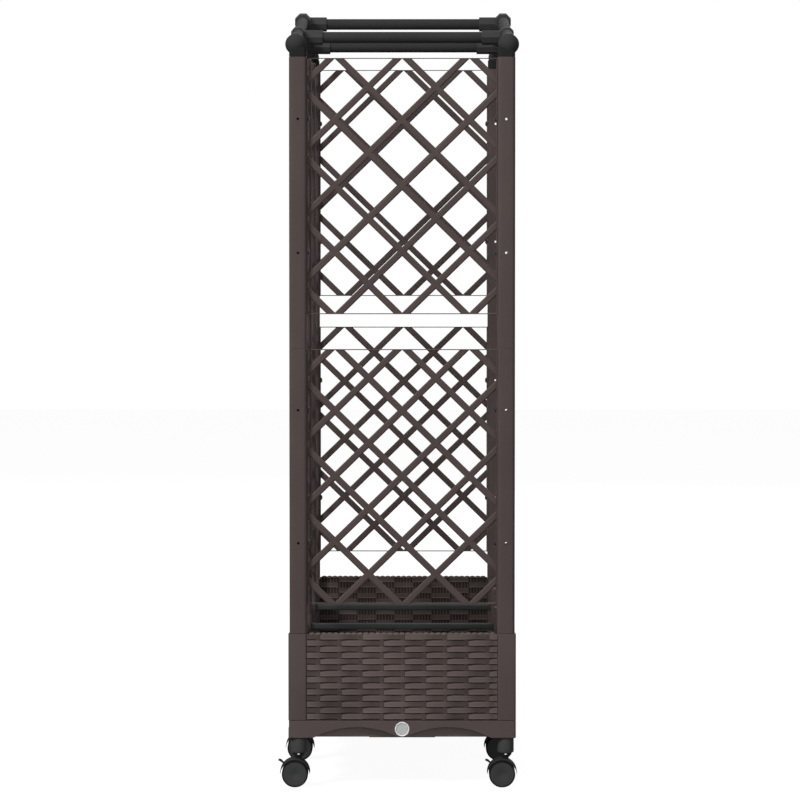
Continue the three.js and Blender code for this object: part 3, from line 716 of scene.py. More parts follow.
print("lattice tree:", len(lattice.nodes), "nodes")

# %% [markdown]
# The border has two deep stiles, which the screws hold, and two shallow rails that close the diamonds.
# Seen from the front they are only thin lines. Straps and bars are straight prisms, so their sections are
# listed as points and carried along one axis.

# %% Strap and border
STRAP_WIDTH, STRAP_THICKNESS = 11.8 * MM, 4.6 * MM
STRAP_SHOULDER, STRAP_EDGE = 2.1 * MM, 1.5 * MM
BORDER_THICKNESS, STILE_DEPTH, RAIL_DEPTH, BORDER_EDGE = 1.5 * MM, 16 * MM, 6 * MM, 0.4 * MM
DIAMOND_WIDTH, DIAMOND_HEIGHT, DIAMOND_RISE = 120 * MM, 117.1 * MM, 0.8 * MM


def strap_section():
    half, face = STRAP_WIDTH / 2, STRAP_THICKNESS / 2
    flat, edge = half - STRAP_SHOULDER, face - STRAP_EDGE
    return [(-face, -flat), (-edge, -half), (edge, -half), (face, -flat),
            (face, flat), (edge, half), (-edge, half), (-face, flat)]


def bar_section(depth):
    """The section of a border bar: a rectangle with cut corners."""
    t, d, cut = BORDER_THICKNESS / 2, depth / 2, BORDER_EDGE
    return [(-t, cut - d), (cut - t, -d), (t - cut, -d), (t, cut - d),
            (t, d - cut), (t - cut, d), (cut - t, d), (-t, d - cut)]


def border_mesh():
    """Two deep stiles and two shallow rails, merged into one frame."""
    half = BORDER_THICKNESS / 2
    side_x = panel_width / 2 - half
    bars = [extruded([(x + a, b) for a, b in bar_section(STILE_DEPTH)], 0, panel_height, Z_AXIS)
            for x in (-side_x, side_x)]
    bars += [extruded([(b, z + a) for a, b in bar_section(RAIL_DEPTH)], -side_x, side_x, X_AXIS)
             for z in (half, panel_height - half)]
    return combined(bars[0], "UNION", bars[1:])


strap_length = 2 * (panel_height + STRAP_WIDTH) / math.sin(math.atan2(DIAMOND_HEIGHT, DIAMOND_WIDTH))
strap = extruded(strap_section(), -strap_length / 2, strap_length / 2, X_AXIS)
border_object = placed("border", border_mesh())
panel_mesh = grown(lattice, strap, {
    "Border": border_object, "Width": panel_width, "Height": panel_height,
    "Diamond Width": DIAMOND_WIDTH, "Diamond Height": DIAMOND_HEIGHT,
    "Start": panel_height / 2 + 2 * DIAMOND_HEIGHT + DIAMOND_RISE, "Overlap": BORDER_THICKNESS / 2,
    "Material": brown})
bpy.data.objects.remove(border_object)
print("panel:", len(panel_mesh.polygons), "faces")

# %% [markdown]
# All ten panels are the same mesh. The four at the ends stand across the planter, and the six on the left
# are turned a quarter. Each gets a matrix, which the screws use again.
# %% Panels in place
QUARTER = Matrix.Rotation(math.pi / 2, 4, "Z")
panels = {}
for tier, bottom in panel_bottoms.items():
    for end, sign in ENDS.items():
        panels[f"{end}_{tier}"] = at(0, sign * end_y, bottom)
    for bay in (1, 2, 3):
        panels[f"left_{bay}_{tier}"] = at(-post_x, middle(f"trellis_left_{bay}_{tier}").y, bottom) @ QUARTER
for name, matrix in panels.items():
    add_piece(f"lattice_{name}", moved(panel_mesh, matrix), brown,
              replaces=[f"trellis_{name}"])
print("panels:", len(panels))

# %% [markdown]
# ## Panel screws
# Two screws on each side hold a panel: forty in all, each through the border into a hole of the post. The
# head is a low dome with a slot. One screw is modelled once, and Geometry Nodes set a copy on each point,
# turned to the direction that the point carries as an attribute.

# %% Screw tree
screw_tree, given, results = new_tree("screws on points", "GeometryNodeTree", {
    "Points": "Geometry", "Screw": "Object", "Material": "Material"}, {"Screws": "Geometry"})
facing = wired(screw_tree, "GeometryNodeInputNamedAttribute", {"Name": "facing"}, data_type="FLOAT_VECTOR")
aligned = wired(screw_tree, "FunctionNodeAlignRotationToVector", {"Vector": facing.outputs[0]}, axis="Z")
shape = wired(screw_tree, "GeometryNodeObjectInfo", {"Object": given["Screw"]})
copies = wired(screw_tree, "GeometryNodeInstanceOnPoints", {
    "Points": given["Points"], "Instance": shape.outputs["Geometry"], "Rotation": aligned.outputs[0]})
tree_end(screw_tree, copies.outputs[0], given, results)
print("screw tree:", len(screw_tree.nodes), "nodes")

# %% Screws
HEAD_RADIUS, HEAD_RISE, SHANK_RADIUS, SHANK_LENGTH = 5.2 * MM, 3.3 * MM, 1.7 * MM, 16 * MM
SLOT_WIDTH, SLOT_DEPTH = 1.4 * MM, 1.5 * MM
screw = turned([
    (0.4 * MM, -SHANK_LENGTH), (SHANK_RADIUS, -SHANK_LENGTH + 2 * MM), (SHANK_RADIUS, 0),
    (HEAD_RADIUS, 0), (HEAD_RADIUS, 1.0 * MM), (0.86 * HEAD_RADIUS, 2.2 * MM),
    (0.6 * HEAD_RADIUS, 2.9 * MM), (0.25 * HEAD_RADIUS, HEAD_RISE)], 12)
screw = combined(screw, "DIFFERENCE", [box_mesh(
    (-2 * HEAD_RADIUS, -SLOT_WIDTH / 2, HEAD_RISE - SLOT_DEPTH),
    (2 * HEAD_RADIUS, SLOT_WIDTH / 2, 2 * HEAD_RISE))])
screw_object = placed("screw", screw)
spots, directions = [], []
for matrix in panels.values():
    for side in (-1, 1):
        for rise in SCREW_RISES:
            spots.append(matrix @ Vector((side * (panel_width / 2 - BORDER_THICKNESS), 0, rise)))
            directions.append(matrix.to_3x3() @ Vector((-side, 0, 0)))
point_mesh = bpy.data.meshes.new("screw spots")
point_mesh.from_pydata(spots, [], [])
facing = point_mesh.attributes.new("facing", "FLOAT_VECTOR", "POINT")
facing.data.foreach_set("vector", [value for vector in directions for value in vector])
screws = grown(screw_tree, point_mesh, {"Screw": screw_object, "Material": black_steel})
bpy.data.objects.remove(screw_object)
add_piece("panel_screws", screws, black_steel)
print("screws:", len(spots), "with", len(screws.polygons), "faces")

# %% [markdown]
# ## Woven walls
# The walls look plaited: flat strips that rise over one upright stake and dive under the next, each row
# half a pitch on from its neighbour. They are mouldings, so the strips are low relief on a slab. One
# strip is lofted from seven sections, and Geometry Nodes lay copies of it out in staggered rows, give
# each its own tone and trim the field to the wall. The same tree lays out the stakes behind the strips,
# the ribs and chequered blocks of the inside, the beads along the rim and the holes of the water grate.

# %% Staggered rows
staggered, given, results = new_tree("staggered rows", "GeometryNodeTree", {
    "Piece": "Geometry", "Columns": ("Int", 6), "Rows": ("Int", 14), "Pitch": ("Float", 0.0757),
    "Row Pitch": ("Float", 0.0109), "Shift": ("Float", 0.0), "Start X": ("Float", 0.0),
    "Start Z": ("Float", 0.0), "Trim Width": ("Float", 1.0), "Trim Height": ("Float", 1.0),
    "Seed": ("Int", 7), "Material": "Material",
}, {"Field": "Geometry"})
number = Field(staggered, wired(staggered, "GeometryNodeInputIndex").outputs[0])
row_number = ((number + 0.5) / given["Columns"]).floor()
column_number = number - row_number * given["Columns"]
shifted = (row_number % 2) * given["Shift"]
spot = vector_of(staggered, X=column_number * given["Pitch"] + shifted + given["Start X"],
                 Z=row_number * given["Row Pitch"] + given["Start Z"])
count = Field(staggered, given["Columns"]) * given["Rows"]
points = wired(staggered, "GeometryNodePoints", {"Count": count, "Position": spot})
copies = wired(staggered, "GeometryNodeInstanceOnPoints", {
    "Points": points.outputs[0], "Instance": given["Piece"]})
chance = wired(staggered, "FunctionNodeRandomValue", {"Seed": given["Seed"]}, data_type="FLOAT")
toned = wired(staggered, "GeometryNodeStoreNamedAttribute", {
    "Geometry": copies.outputs[0], "Name": "tone", "Value": chance.outputs[1]},
    data_type="FLOAT", domain="INSTANCE")
real = wired(staggered, "GeometryNodeRealizeInstances", {0: toned.outputs[0]})
field = windowed(staggered, real.outputs[0], given["Trim Width"], given["Trim Height"],
                 Field(staggered, given["Trim Height"]) / 2)
tree_end(staggered, field, given, results)
print("staggered rows tree:", len(staggered.nodes), "nodes")

# %% [markdown]
# A wall is drawn in its own frame first: X along its length, the outside towards -Y and Z up from its
# foot. A strip starts crisp and high beside a stake, stays high over the next stake and sinks towards the
# one after it. Its section has shallow flutes, as flattened cane has. The inside is plainer: fine upright
# ribs, and blocks in a chequered pattern, each with a lip along its lower edge. Every vertex also
# gets an attribute of painted shade, which the woven plastic turns into darker tones where the weave lies
# deep, and into a painted highlight on the lips.

# %% Strip, stake, block and rib
ROWS, STRIP_PITCH, STRIP_FOOT = 14, 75.7 * MM, 5.1
wall_height, wall_thickness = size("end_wall_front").z, size("end_wall_front").y
row_pitch = 153.9 * MM / ROWS
OUTSIDE, INSIDE = -wall_thickness / 2 + 0.3 * MM, wall_thickness / 2
ROOT = OUTSIDE + 0.8 * MM
STRIP_STATIONS = ((0, 1.9, 1.4, 0.0), (0.8, 2.2, 1.4, 0.0), (12, 2.35, 0.0, 0.0), (30, 2.15, 0.0, 0.0),
                  (42, 1.3, 0.0, 0.6), (53, 0.7, 0.2, 0.9), (75.4, 0.5, 0.3, 0.2))
# Painted shade along a strip: none where it lies high, most where it sinks under the next row.
PAINTED_SHADE = ((0, 0.0), (0.8, 0.0), (12, 0.06), (30, 0.2), (42, 0.6), (53, 1.0), (75.4, 0.9))
STRIP_SECTION = ((-4.9, 0.55), (-4.3, 1.1), (-3.4, 1.0), (-2.6, 0.78), (0.2, 0.88), (2.6, 0.78), (4.7, 0.55))
# Painted shade on stakes, blocks and ribs; the negative value is a painted highlight on the blocks' lips.
STAKE_PAINTED_SHADE, BLOCK_PAINTED_SHADE, LIP_PAINTED_HIGHLIGHT, RIB_PAINTED_SHADE = 0.85, 0.75, -0.3, 0.95
weave_crease = math.radians(38)


def strip_ring(x, height, off_top, off_bottom):
    """A section of the strip, with its upper and lower edges drawn in where it twists."""
    section = [(z, OUTSIDE - share * height * MM) for z, share in STRIP_SECTION]
    ring = []
    for z, y in [(-STRIP_FOOT, ROOT), *section, (STRIP_FOOT, ROOT)]:
        drawn_in = off_top if z > 0 else off_bottom
        ring.append(Vector((x * MM, y, z * (1 - drawn_in / 5) * MM)))
    return ring


def store_painted_shade(mesh, depths):
    """Stores painted shade for each vertex: 0 on top of the weave, 1 at its bottom, below 0 for a painted
    highlight on a lip.
    """
    painted_shade = mesh.attributes.new("painted_shade", "FLOAT", "POINT")
    painted_shade.data.foreach_set("value", depths)


painted_shade_at = {round(x * MM, 5): value for x, value in PAINTED_SHADE}
strip = loft([strip_ring(*station) for station in STRIP_STATIONS], crease=weave_crease)
store_painted_shade(strip, [painted_shade_at[round(vertex.co.x, 5)] for vertex in strip.vertices])
STAKE_SECTION = ((0, 0.1), (0.5, 0.8), (1.4, 0.95), (2.2, 0.45), (2.6, 0.45), (3.4, 1.0), (4.2, 0.45),
                 (4.6, 0.45), (5.4, 0.95), (6.2, 0.8), (6.7, 0.1))
stake_points = [(0, ROOT)] + [(x * MM, OUTSIDE - rise * MM) for x, rise in STAKE_SECTION] + [(6.7 * MM, ROOT)]
stake = extruded(stake_points, 0.4 * MM, ROWS * row_pitch, Z_AXIS)
store_painted_shade(stake, [STAKE_PAINTED_SHADE] * len(stake.vertices))
BLOCK_LENGTH, BLOCK_RISE = 37.0 * MM, 2.2 * MM
BLOCK_SECTION = ((-5.2, -0.4), (-5.2, 0.62), (-4.9, 0.98), (-3.7, 1.0), (-3.0, 0.6), (4.2, 0.62), (4.8, 0.4),
                 (4.8, -0.4))
LIP_LOW, LIP_HIGH = -5 * MM, -3.3 * MM
block = extruded([(INSIDE - BLOCK_RISE * (1 - share), z * MM) for z, share in BLOCK_SECTION],
                 -BLOCK_LENGTH / 2, BLOCK_LENGTH / 2, X_AXIS)
# The lip gets a painted highlight, the rest of the block painted shade.
store_painted_shade(block, [LIP_PAINTED_HIGHLIGHT if LIP_LOW < vertex.co.z < LIP_HIGH else BLOCK_PAINTED_SHADE for vertex in block.vertices])
RIB_PITCH, RIB_RISE, RIB_ROOT = 6.2 * MM, 0.5 * MM, 0.5 * MM
rib_back = INSIDE - BLOCK_RISE - RIB_ROOT
rib = extruded([(-1.6 * MM, rib_back), (-1.1 * MM, rib_back + RIB_ROOT + RIB_RISE),
                (1.1 * MM, rib_back + RIB_ROOT + RIB_RISE), (1.6 * MM, rib_back)],
               0.4 * MM, ROWS * row_pitch, Z_AXIS)
store_painted_shade(rib, [RIB_PAINTED_SHADE] * len(rib.vertices))
print("strip", len(strip.polygons), "stake", len(stake.polygons), "block", len(block.polygons), "faces")

# %% [markdown]
# The rim is finished with a row of short beads, like a cord wound round the edge. A bead is an eight-sided
# loft that swells in its middle, and the rows tree lays a row of them along the top.

# %% Rim bead
BEAD_PITCH, BEAD_HEIGHT, BEAD_PROUD = 10.75 * MM, 5.8 * MM, 2.2 * MM
BEAD_HALF_DEPTH, BEAD_SIDES, BEAD_SWELL = 3.7 * MM, 8, 1.06
BEAD_STATIONS = ((-5.3, 0.3), (-4.4, 0.72), (-2.0, 1.0), (2.0, 1.0), (4.4, 0.72), (5.3, 0.3))


def bead_ring(x, share):
    angles = [2 * math.pi * (i + 0.5) / BEAD_SIDES for i in range(BEAD_SIDES)]
    depth, height = BEAD_SWELL * share * BEAD_HALF_DEPTH, BEAD_SWELL * share * (BEAD_HEIGHT / 2)
    return [Vector((x * MM, depth * math.cos(a), height * math.sin(a))) for a in angles]


bead = loft([bead_ring(x, share) for x, share in BEAD_STATIONS], crease=math.radians(60))
print("bead", len(bead.polygons), "faces")

# %% [markdown]
# One function makes a wall of any length from these parts: a slab with a tongue at each end, and the
# parts laid out on it. The starts, the shift and the lift of the rows are those that the photo shows.
# Every layer stays a mesh of its own, because each one is closed and only rests in its neighbour.

# %% One wall
WALL_TRIM, SLAB_DROP, TONGUE = 0.6 * MM, 3 * MM, 3.7 * MM
STRIP_START, STAKE_START, ROW_SHIFT, ROW_LIFT = -184.0 * MM, -191.6 * MM, -38.3 * MM, 1.35 * MM


def wall_meshes(length):
    """The slab, strips, stakes, ribs, blocks and rim beads of one wall, in the wall's own frame."""
    def rows(piece, columns, pitch, start, rows_up=1, shift=0.0, first_z=0.0, height=wall_height):
        return grown(staggered, piece.copy(), {
            "Columns": columns, "Rows": rows_up, "Pitch": pitch, "Row Pitch": row_pitch, "Shift": shift,
            "Start X": start, "Start Z": first_z, "Trim Width": length - WALL_TRIM, "Trim Height": height,
            "Material": weave_brown}, weave_crease)

    half = length / 2
    slab = box_mesh((-half - TONGUE, OUTSIDE, 0), (half + TONGUE, INSIDE - BLOCK_RISE, wall_height - SLAB_DROP))
    middle_row = row_pitch / 2 + ROW_LIFT
    strips = rows(strip, 7, STRIP_PITCH, STRIP_START - STRIP_PITCH, ROWS, ROW_SHIFT, middle_row)
    stakes = rows(stake, 12, STRIP_PITCH / 2, STAKE_START - STRIP_PITCH / 2)
    blocks = rows(block, 7, STRIP_PITCH, -STRIP_PITCH * 3, ROWS, STRIP_PITCH / 2, middle_row)
    rib_count = int(length / RIB_PITCH)
    ribs = rows(rib, rib_count, RIB_PITCH, -(rib_count - 1) * RIB_PITCH / 2)
    bead_count = int(length / BEAD_PITCH)
    beads = rows(bead, bead_count, BEAD_PITCH, -(bead_count - 1) * BEAD_PITCH / 2,
                 first_z=wall_height + BEAD_PROUD - BEAD_HEIGHT / 2, height=wall_height + BEAD_PROUD)
    return {"slab": slab, "ribs": ribs, "strips": strips, "stakes": stakes, "blocks": blocks, "beads": beads}


def add_wall(label, meshes, place, replaced):
    """Puts the meshes of a wall in place. The slab is the one that stands in for a node."""
    for part, mesh in meshes.items():
        is_slab = part == "slab"
        # The slab is painted darker as shade; the other parts take the woven plastic.
        add_piece(f"{label}_{part}", moved(mesh, place), slab_painted_shade_brown if is_slab else weave_brown,
                  replaces=replaced if is_slab else ())


column_inner_x = size("cross_member_1").x / 2 + 0.3 * MM
end_wall = wall_meshes(2 * column_inner_x)
wall_y = middle("end_wall_rear").y
HALF_TURN = Matrix.Rotation(math.pi, 4, "Z")
add_wall("end_wall_front", end_wall, at(0, -wall_y, band_top), ["end_wall_front"])
add_wall("end_wall_rear", end_wall, at(0, wall_y, band_top) @ HALF_TURN, ["end_wall_rear"])
print("end wall faces:", {part: len(mesh.polygons) for part, mesh in end_wall.items()})

# %% [markdown]
# The long sides have three such walls each, one for every bay, between the columns. The bays at the ends
# are a little longer than the middle one, because the corner columns stand further out. Each wall is
# turned so that its outside faces away from the trough.

# %% Side walls
column = {name: middle(f"corner_column_{name}") for name in ("front_left", "rear_right")}
column_width, column_x = size("corner_column_front_left").x, column["rear_right"].x
outer_x, outer_y = column_x + column_width / 2, column["rear_right"].y + column_width / 2
wall_x = column_x + column_width / 2 - 3 * MM - wall_thickness / 2
column_y = [column["front_left"].y, row_y[1], row_y[2], column["rear_right"].y]
side_bays = [(column_y[bay] + column_width / 2, column_y[bay + 1] - column_width / 2) for bay in range(3)]
for bay, (near, far) in enumerate(side_bays):
    bay_wall = wall_meshes(far - near)
    for side, sign in SIDES.items():
        place = at(sign * wall_x, (near + far) / 2, band_top) @ Matrix.Rotation(sign * math.pi / 2, 4, "Z")
        add_wall(f"side_wall_{side}_{bay + 1}", bay_wall, place, [f"side_wall_{side}"] if bay == 0 else ())
print("side bays", [round(far - near, 4) for near, far in side_bays])

# %% [markdown]
# ## Columns
# A column stands at every row on both sides. It is a square tube like the posts but a little wider, and
# the walls slide into grooves in it. On the left and at the corners a spigot on top holds the post.

# %% Columns
COLUMN_RADIUS, COLUMN_EDGE, SPIGOT_HEIGHT = 4 * MM, 0.8 * MM, 30 * MM
GROOVE_GAP, SPIGOT_GAP = 0.3 * MM, 0.6 * MM
spigot_width = post_width - 2 * POST_WALL - SPIGOT_GAP
column_shaft = square_solid(column_width, COLUMN_RADIUS, [
    (COLUMN_EDGE, band_top), (0, band_top + COLUMN_EDGE), (0, rim - COLUMN_EDGE),
    (0.3 * COLUMN_EDGE, rim - 0.3 * COLUMN_EDGE), (COLUMN_EDGE, rim)])
spigot = square_solid(spigot_width, COLUMN_RADIUS, [(inset, rim + rise) for inset, rise in (
    (0, -MM), (0, SPIGOT_HEIGHT - MM), (MM, SPIGOT_HEIGHT))])
groove = box_mesh((-TONGUE - GROOVE_GAP, OUTSIDE - GROOVE_GAP, band_top - MM),
                  (MM, INSIDE - BLOCK_RISE + GROOVE_GAP, rim + MM))


def column_mesh(x, y, sign, post_y, walls, with_spigot):
    """A column at a place, with its spigot on the post's axis and a groove for each wall."""
    mesh = moved(column_shaft, at(x, y, 0))
    if with_spigot:
        mesh = combined(mesh, "UNION", [moved(spigot, at(sign * post_x, post_y, 0))])
    return combined(mesh, "DIFFERENCE", [moved(groove, wall) for wall in walls])


def side_groove(sign, y, towards):
    """Where a side wall enters the column's face at y. The wall lies towards +Y or -Y of that face."""
    turn = Matrix.Rotation(sign * math.pi / 2, 4, "Z")
    flip = Matrix.Diagonal((-1 if sign * towards < 0 else 1, 1, 1, 1))
    return at(sign * wall_x, y, 0) @ turn @ flip


half_column = column_width / 2
for side, sign in SIDES.items():
    for row in range(4):
        x, y = sign * column_x, column_y[row]
        walls = [side_groove(sign, y + reach * half_column, reach)
                 for reach in (-1, 1) if (row, reach) not in ((0, -1), (3, 1))]
        if row in (0, 3):
            end = "front" if row == 0 else "rear"
            flip = Matrix.Diagonal((-sign, -ENDS[end] if row else 1, 1, 1))
            walls.append(at(sign * column_inner_x, ENDS[end] * wall_y, 0) @ flip)
            mesh = column_mesh(x, y, sign, row_y[row], walls, True)
            add_piece(f"column_{end}_{side}", mesh, brown,
                      replaces=[f"corner_column_{end}_{side}"])
        else:
            mesh = column_mesh(x, y, sign, row_y[row], walls, side == "left")
            add_piece(f"column_{side}_{row}", mesh, brown)
print("columns: 8,", round(column_width, 4), "wide")

# %% [markdown]
# ## Base trays
# Three trays in a row carry everything. Each has a skirt with two arches on every free face, a basin for
# spare water inside it, and solid corner blocks for the casters' stems. The skirt is drawn once over the
# whole length, so that its faces line up, and then cut into the three trays where their seams are. An
# arch is cut with a prism whose top is a flat arc.

# %% Skirt, arches and blocks
base_bottom, tray_top = low_of("base_tray_1").z, high_of("base_tray_1").z
SKIRT_WALL, ARCH_RISE, ARCH_FOOT, ARCH_REACH, ARCH_STEPS = 2.5 * MM, 19.6 * MM, 4 * MM, 10.9 * MM, 14
TRAY_EDGE, RIM_EDGE, STEM_BORE, BORE_HEIGHT = 0.7 * MM, 0.5 * MM, 3.8 * MM, 25 * MM
BELOW = base_bottom - 5 * MM


def arch_cutter(start, end, place):
    """Cuts one arch through the skirt: a flat arc between two feet, open at the bottom."""
    span = end - start
    radius = (span * span / 4 + ARCH_RISE * ARCH_RISE) / (2 * ARCH_RISE)
    half = math.asin(span / 2 / radius)
    middle_x, centre_z = (start + end) / 2, base_bottom + ARCH_RISE - radius
    angles = [half - 2 * half * i / ARCH_STEPS for i in range(ARCH_STEPS + 1)]
    curve = [(middle_x + radius * math.sin(a), centre_z + radius * math.cos(a)) for a in angles]
    outline = [(end, BELOW), *curve, (start, BELOW)]
    return moved(extruded(outline, -3 * SKIRT_WALL, 3 * SKIRT_WALL, Y_AXIS), place)


arches = []
for start, end in ((-column_inner_x + ARCH_REACH, -ARCH_FOOT), (ARCH_FOOT, column_inner_x - ARCH_REACH)):
    arches += [arch_cutter(start, end, at(0, sign * outer_y, 0)) for sign in (-1, 1)]
for near, far in side_bays:
    centre = (near + far) / 2
    for start, end in ((near + ARCH_REACH, centre - ARCH_FOOT), (centre + ARCH_FOOT, far - ARCH_REACH)):
        arches += [arch_cutter(start, end, at(sign * outer_x, 0, 0) @ QUARTER) for sign in (-1, 1)]
skirt_profile = [(TRAY_EDGE, base_bottom), (0, base_bottom + TRAY_EDGE), (0, tray_top - RIM_EDGE),
                 (RIM_EDGE, tray_top)]
skirt = loft([rounded_ring(2 * (outer_x - inset), 2 * (outer_y - inset), COLUMN_RADIUS - inset, z)
              for inset, z in skirt_profile])
inner_x, inner_y = outer_x - SKIRT_WALL, outer_y - SKIRT_WALL
hollow = box_mesh((-inner_x, -inner_y, BELOW), (inner_x, inner_y, tray_top - SKIRT_WALL))
skirt = combined(skirt, "DIFFERENCE", [hollow, *arches])
corner_block = square_solid(column_width, COLUMN_RADIUS, [
    (TRAY_EDGE, base_bottom), (0, base_bottom + TRAY_EDGE), (0, tray_top - MM)])
skirt = combined(skirt, "UNION", [
    moved(corner_block, at(sign * column_x, y, 0)) for sign in SIDES.values() for y in column_y])
stem_bore = turned([(STEM_BORE, BELOW), (STEM_BORE, base_bottom + BORE_HEIGHT)], 24)
bores = [moved(stem_bore, at(sign * post_x, y, 0)) for sign in SIDES.values() for y in row_y]
print("skirt:", len(skirt.polygons), "faces,", len(arches), "arches")

# %% [markdown]
# The basin hangs inside the skirt and shows under the arches. It is made as a piece of its own and is
# painted a lighter brown: painted light, which brightens the recess under the skirt, so the skirt keeps its
# depth. Its middle pad comes down between the arches. In front, a round seat for the drain plug goes
# through the skirt, and a boss behind it leads the water out of the basin.

# %% Basins and trays
BASIN_INSET, BASIN_RISE, BASIN_RADIUS, EASED_EDGE = 20 * MM, 0.2 * MM, 3 * MM, 0.35 * MM
CLIP_DEPTH, CLIP_HEIGHT, SEAT_FOOT_HEIGHT = 1.6 * MM, 13.5 * MM, 8 * MM
PADS = ((-183.4, -146.5, 0.2), (-59.0, 59.0, 1.4), (146.5, 183.4, 0.2))
PLUG_RISE, SEAT_PROFILE = 15.7 * MM, ((13.5, -1.0), (13.5, 4.0), (8.3, 4.0), (8.3, 30.0))
PLUG_BOSS_RADIUS, PLUG_BOSS_START = 12.6 * MM, 3.9 * MM
clips = [box_mesh((-outer_x - MM, y - half_column - MM, tray_top - CLIP_HEIGHT),
                  (-outer_x + CLIP_DEPTH, y + half_column + MM, tray_top + MM)) for y in column_y]
plug_place = at(0, -outer_y, base_bottom + PLUG_RISE)
seat = moved(turned(in_mm(SEAT_PROFILE)), plug_place, ALONG_Y)
boss = turned([(PLUG_BOSS_RADIUS, PLUG_BOSS_START), (PLUG_BOSS_RADIUS, BASIN_INSET)])
boss = moved(boss, plug_place, ALONG_Y)
seat_foot = box_mesh((-2 * ARCH_FOOT, -outer_y - MM, BELOW),
                     (2 * ARCH_FOOT, -inner_y + 0.5 * MM, base_bottom + SEAT_FOOT_HEIGHT))


def round_box(half_x, near, far, bottom, top):
    """A block with round upright corners, from near to far along Y."""
    offset = Vector((0, (near + far) / 2, 0))
    return loft([[point + offset for point in rounded_ring(2 * half_x, far - near, BASIN_RADIUS, z)]
                 for z in (bottom, top)])


basin_x, floor_z = outer_x - BASIN_INSET, base_bottom + BASIN_RISE
for bay in (1, 2, 3):
    node = f"base_tray_{bay}"
    near, far = low_of(node).y, high_of(node).y
    basin_near = near + (BASIN_INSET if bay == 1 else SKIRT_WALL)
    basin_far = far - (BASIN_INSET if bay == 3 else SKIRT_WALL)
    shell = round_box(basin_x + SKIRT_WALL, basin_near - SKIRT_WALL, basin_far + SKIRT_WALL, floor_z,
                      tray_top - MM)
    water = round_box(basin_x, basin_near, basin_far, floor_z + SKIRT_WALL, tray_top + MM)
    pads = [box_mesh((x0 * MM, basin_near, floor_z - depth * MM), (x1 * MM, basin_far, floor_z + MM))
            for x0, x1, depth in PADS]
    slice_box = box_mesh((-outer_x - MM, near, BELOW), (outer_x + MM, far, tray_top + MM))
    tray = combined(skirt.copy(), "INTERSECT", [slice_box])
    tray = combined(tray, "DIFFERENCE", [water, *bores, *clips] + ([seat, seat_foot] if bay == 1 else []))
    basin = combined(shell, "UNION", pads + ([boss] if bay == 1 else []))
    basin = combined(basin, "DIFFERENCE", [water.copy(), *bores] + ([seat] if bay == 1 else []))
    add_piece(f"tray_{bay}", eased(tray, EASED_EDGE), tray_brown, replaces=[node])
    # The basin takes the lighter brown, which is painted light.
    add_piece(f"basin_{bay}", eased(basin, EASED_EDGE), basin_painted_light_brown)
    print(node, len(tray.polygons), "faces, basin", len(basin.polygons))

# %% [markdown]
# ## Inside the trough
# Two beams tie the mid columns together. A beam is a box with round edges and a wider plate at each end,
# where it meets the columns, so one loft along X is enough.

# %% Cross-members
BEAM_RADIUS, PLATE_GROWTH, PLATE_LENGTH = 3 * MM, 1.6 * MM, 2.5 * MM
beam_length, beam_depth, beam_height = size("cross_member_1")
half = beam_length / 2
beam_stations = ((-half, 0), (-half + PLATE_LENGTH, 0), (-half + PLATE_LENGTH + PLATE_GROWTH, PLATE_GROWTH),
                 (half - PLATE_LENGTH - PLATE_GROWTH, PLATE_GROWTH), (half - PLATE_LENGTH, 0), (half, 0))
beam = loft([[Vector((x, point.x, point.y)) for point in rounded_ring(
    beam_depth - 2 * inset, beam_height - 2 * inset, BEAM_RADIUS, 0, 4)] for x, inset in beam_stations])
for row in (1, 2):
    place = at(*middle(f"cross_member_{row}"))
    add_piece(f"tie_beam_{row}", moved(beam, place), dark_plastic,
              replaces=[f"cross_member_{row}"])
print("beams: 2 of", round(beam_length, 4))

# %% [markdown]
# A perforated floor keeps the soil above the water. Its long slots let roots and a watering can through,
# and small holes between them drain the soil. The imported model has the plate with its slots, so the
# script starts from it and drills the holes with pins that the rows tree lays out.

# %% Water grate
DRAIN_PITCH, DRAIN_RADIUS, DRAIN_SPREAD, PIN_HALF, FIELD_LIFT = 24 * MM, 3 * MM, 276 * MM, 5 * MM, 0.1
grate_z = (low_of("water_grate").z + high_of("water_grate").z) / 2
pin = moved(turned([(DRAIN_RADIUS, -PIN_HALF), (DRAIN_RADIUS, PIN_HALF)], 8), ALONG_Y)
cutters = []
for near, far in side_bays:
    for share in (1 / 3, 2 / 3):
        start_y = (near + far) / 2 + (share - 0.5) * DRAIN_SPREAD - 1.5 * row_pitch
        field = grown(staggered, pin.copy(), {
            "Columns": 11, "Rows": 4, "Pitch": DRAIN_PITCH, "Row Pitch": row_pitch, "Shift": DRAIN_PITCH / 2,
            "Start X": -5 * DRAIN_PITCH - DRAIN_PITCH / 4, "Start Z": FIELD_LIFT, "Trim Width": 1.0,
            "Trim Height": 1.0, "Material": dark_plastic})
        laid = at(0, start_y + FIELD_LIFT, grate_z) @ Matrix.Rotation(math.pi / 2, 4, "X")
        cutters.append(moved(field, laid))
grate = combined(from_model("water_grate"), "DIFFERENCE", cutters)
add_piece("grate", grate, dark_plastic, replaces=["water_grate"])
print("grate:", len(grate.polygons), "faces")

# %% [markdown]
# ## Drain plug
# The light grey plug closes the outlet in the front skirt. It has a raised rolled ring and a recessed disc,
# which the light picks out, and both are turned. The ring's grey is partly its own light grey and partly
# painted highlight, and the disc is a piece of its own with a slightly deeper grey, which is painted shade.

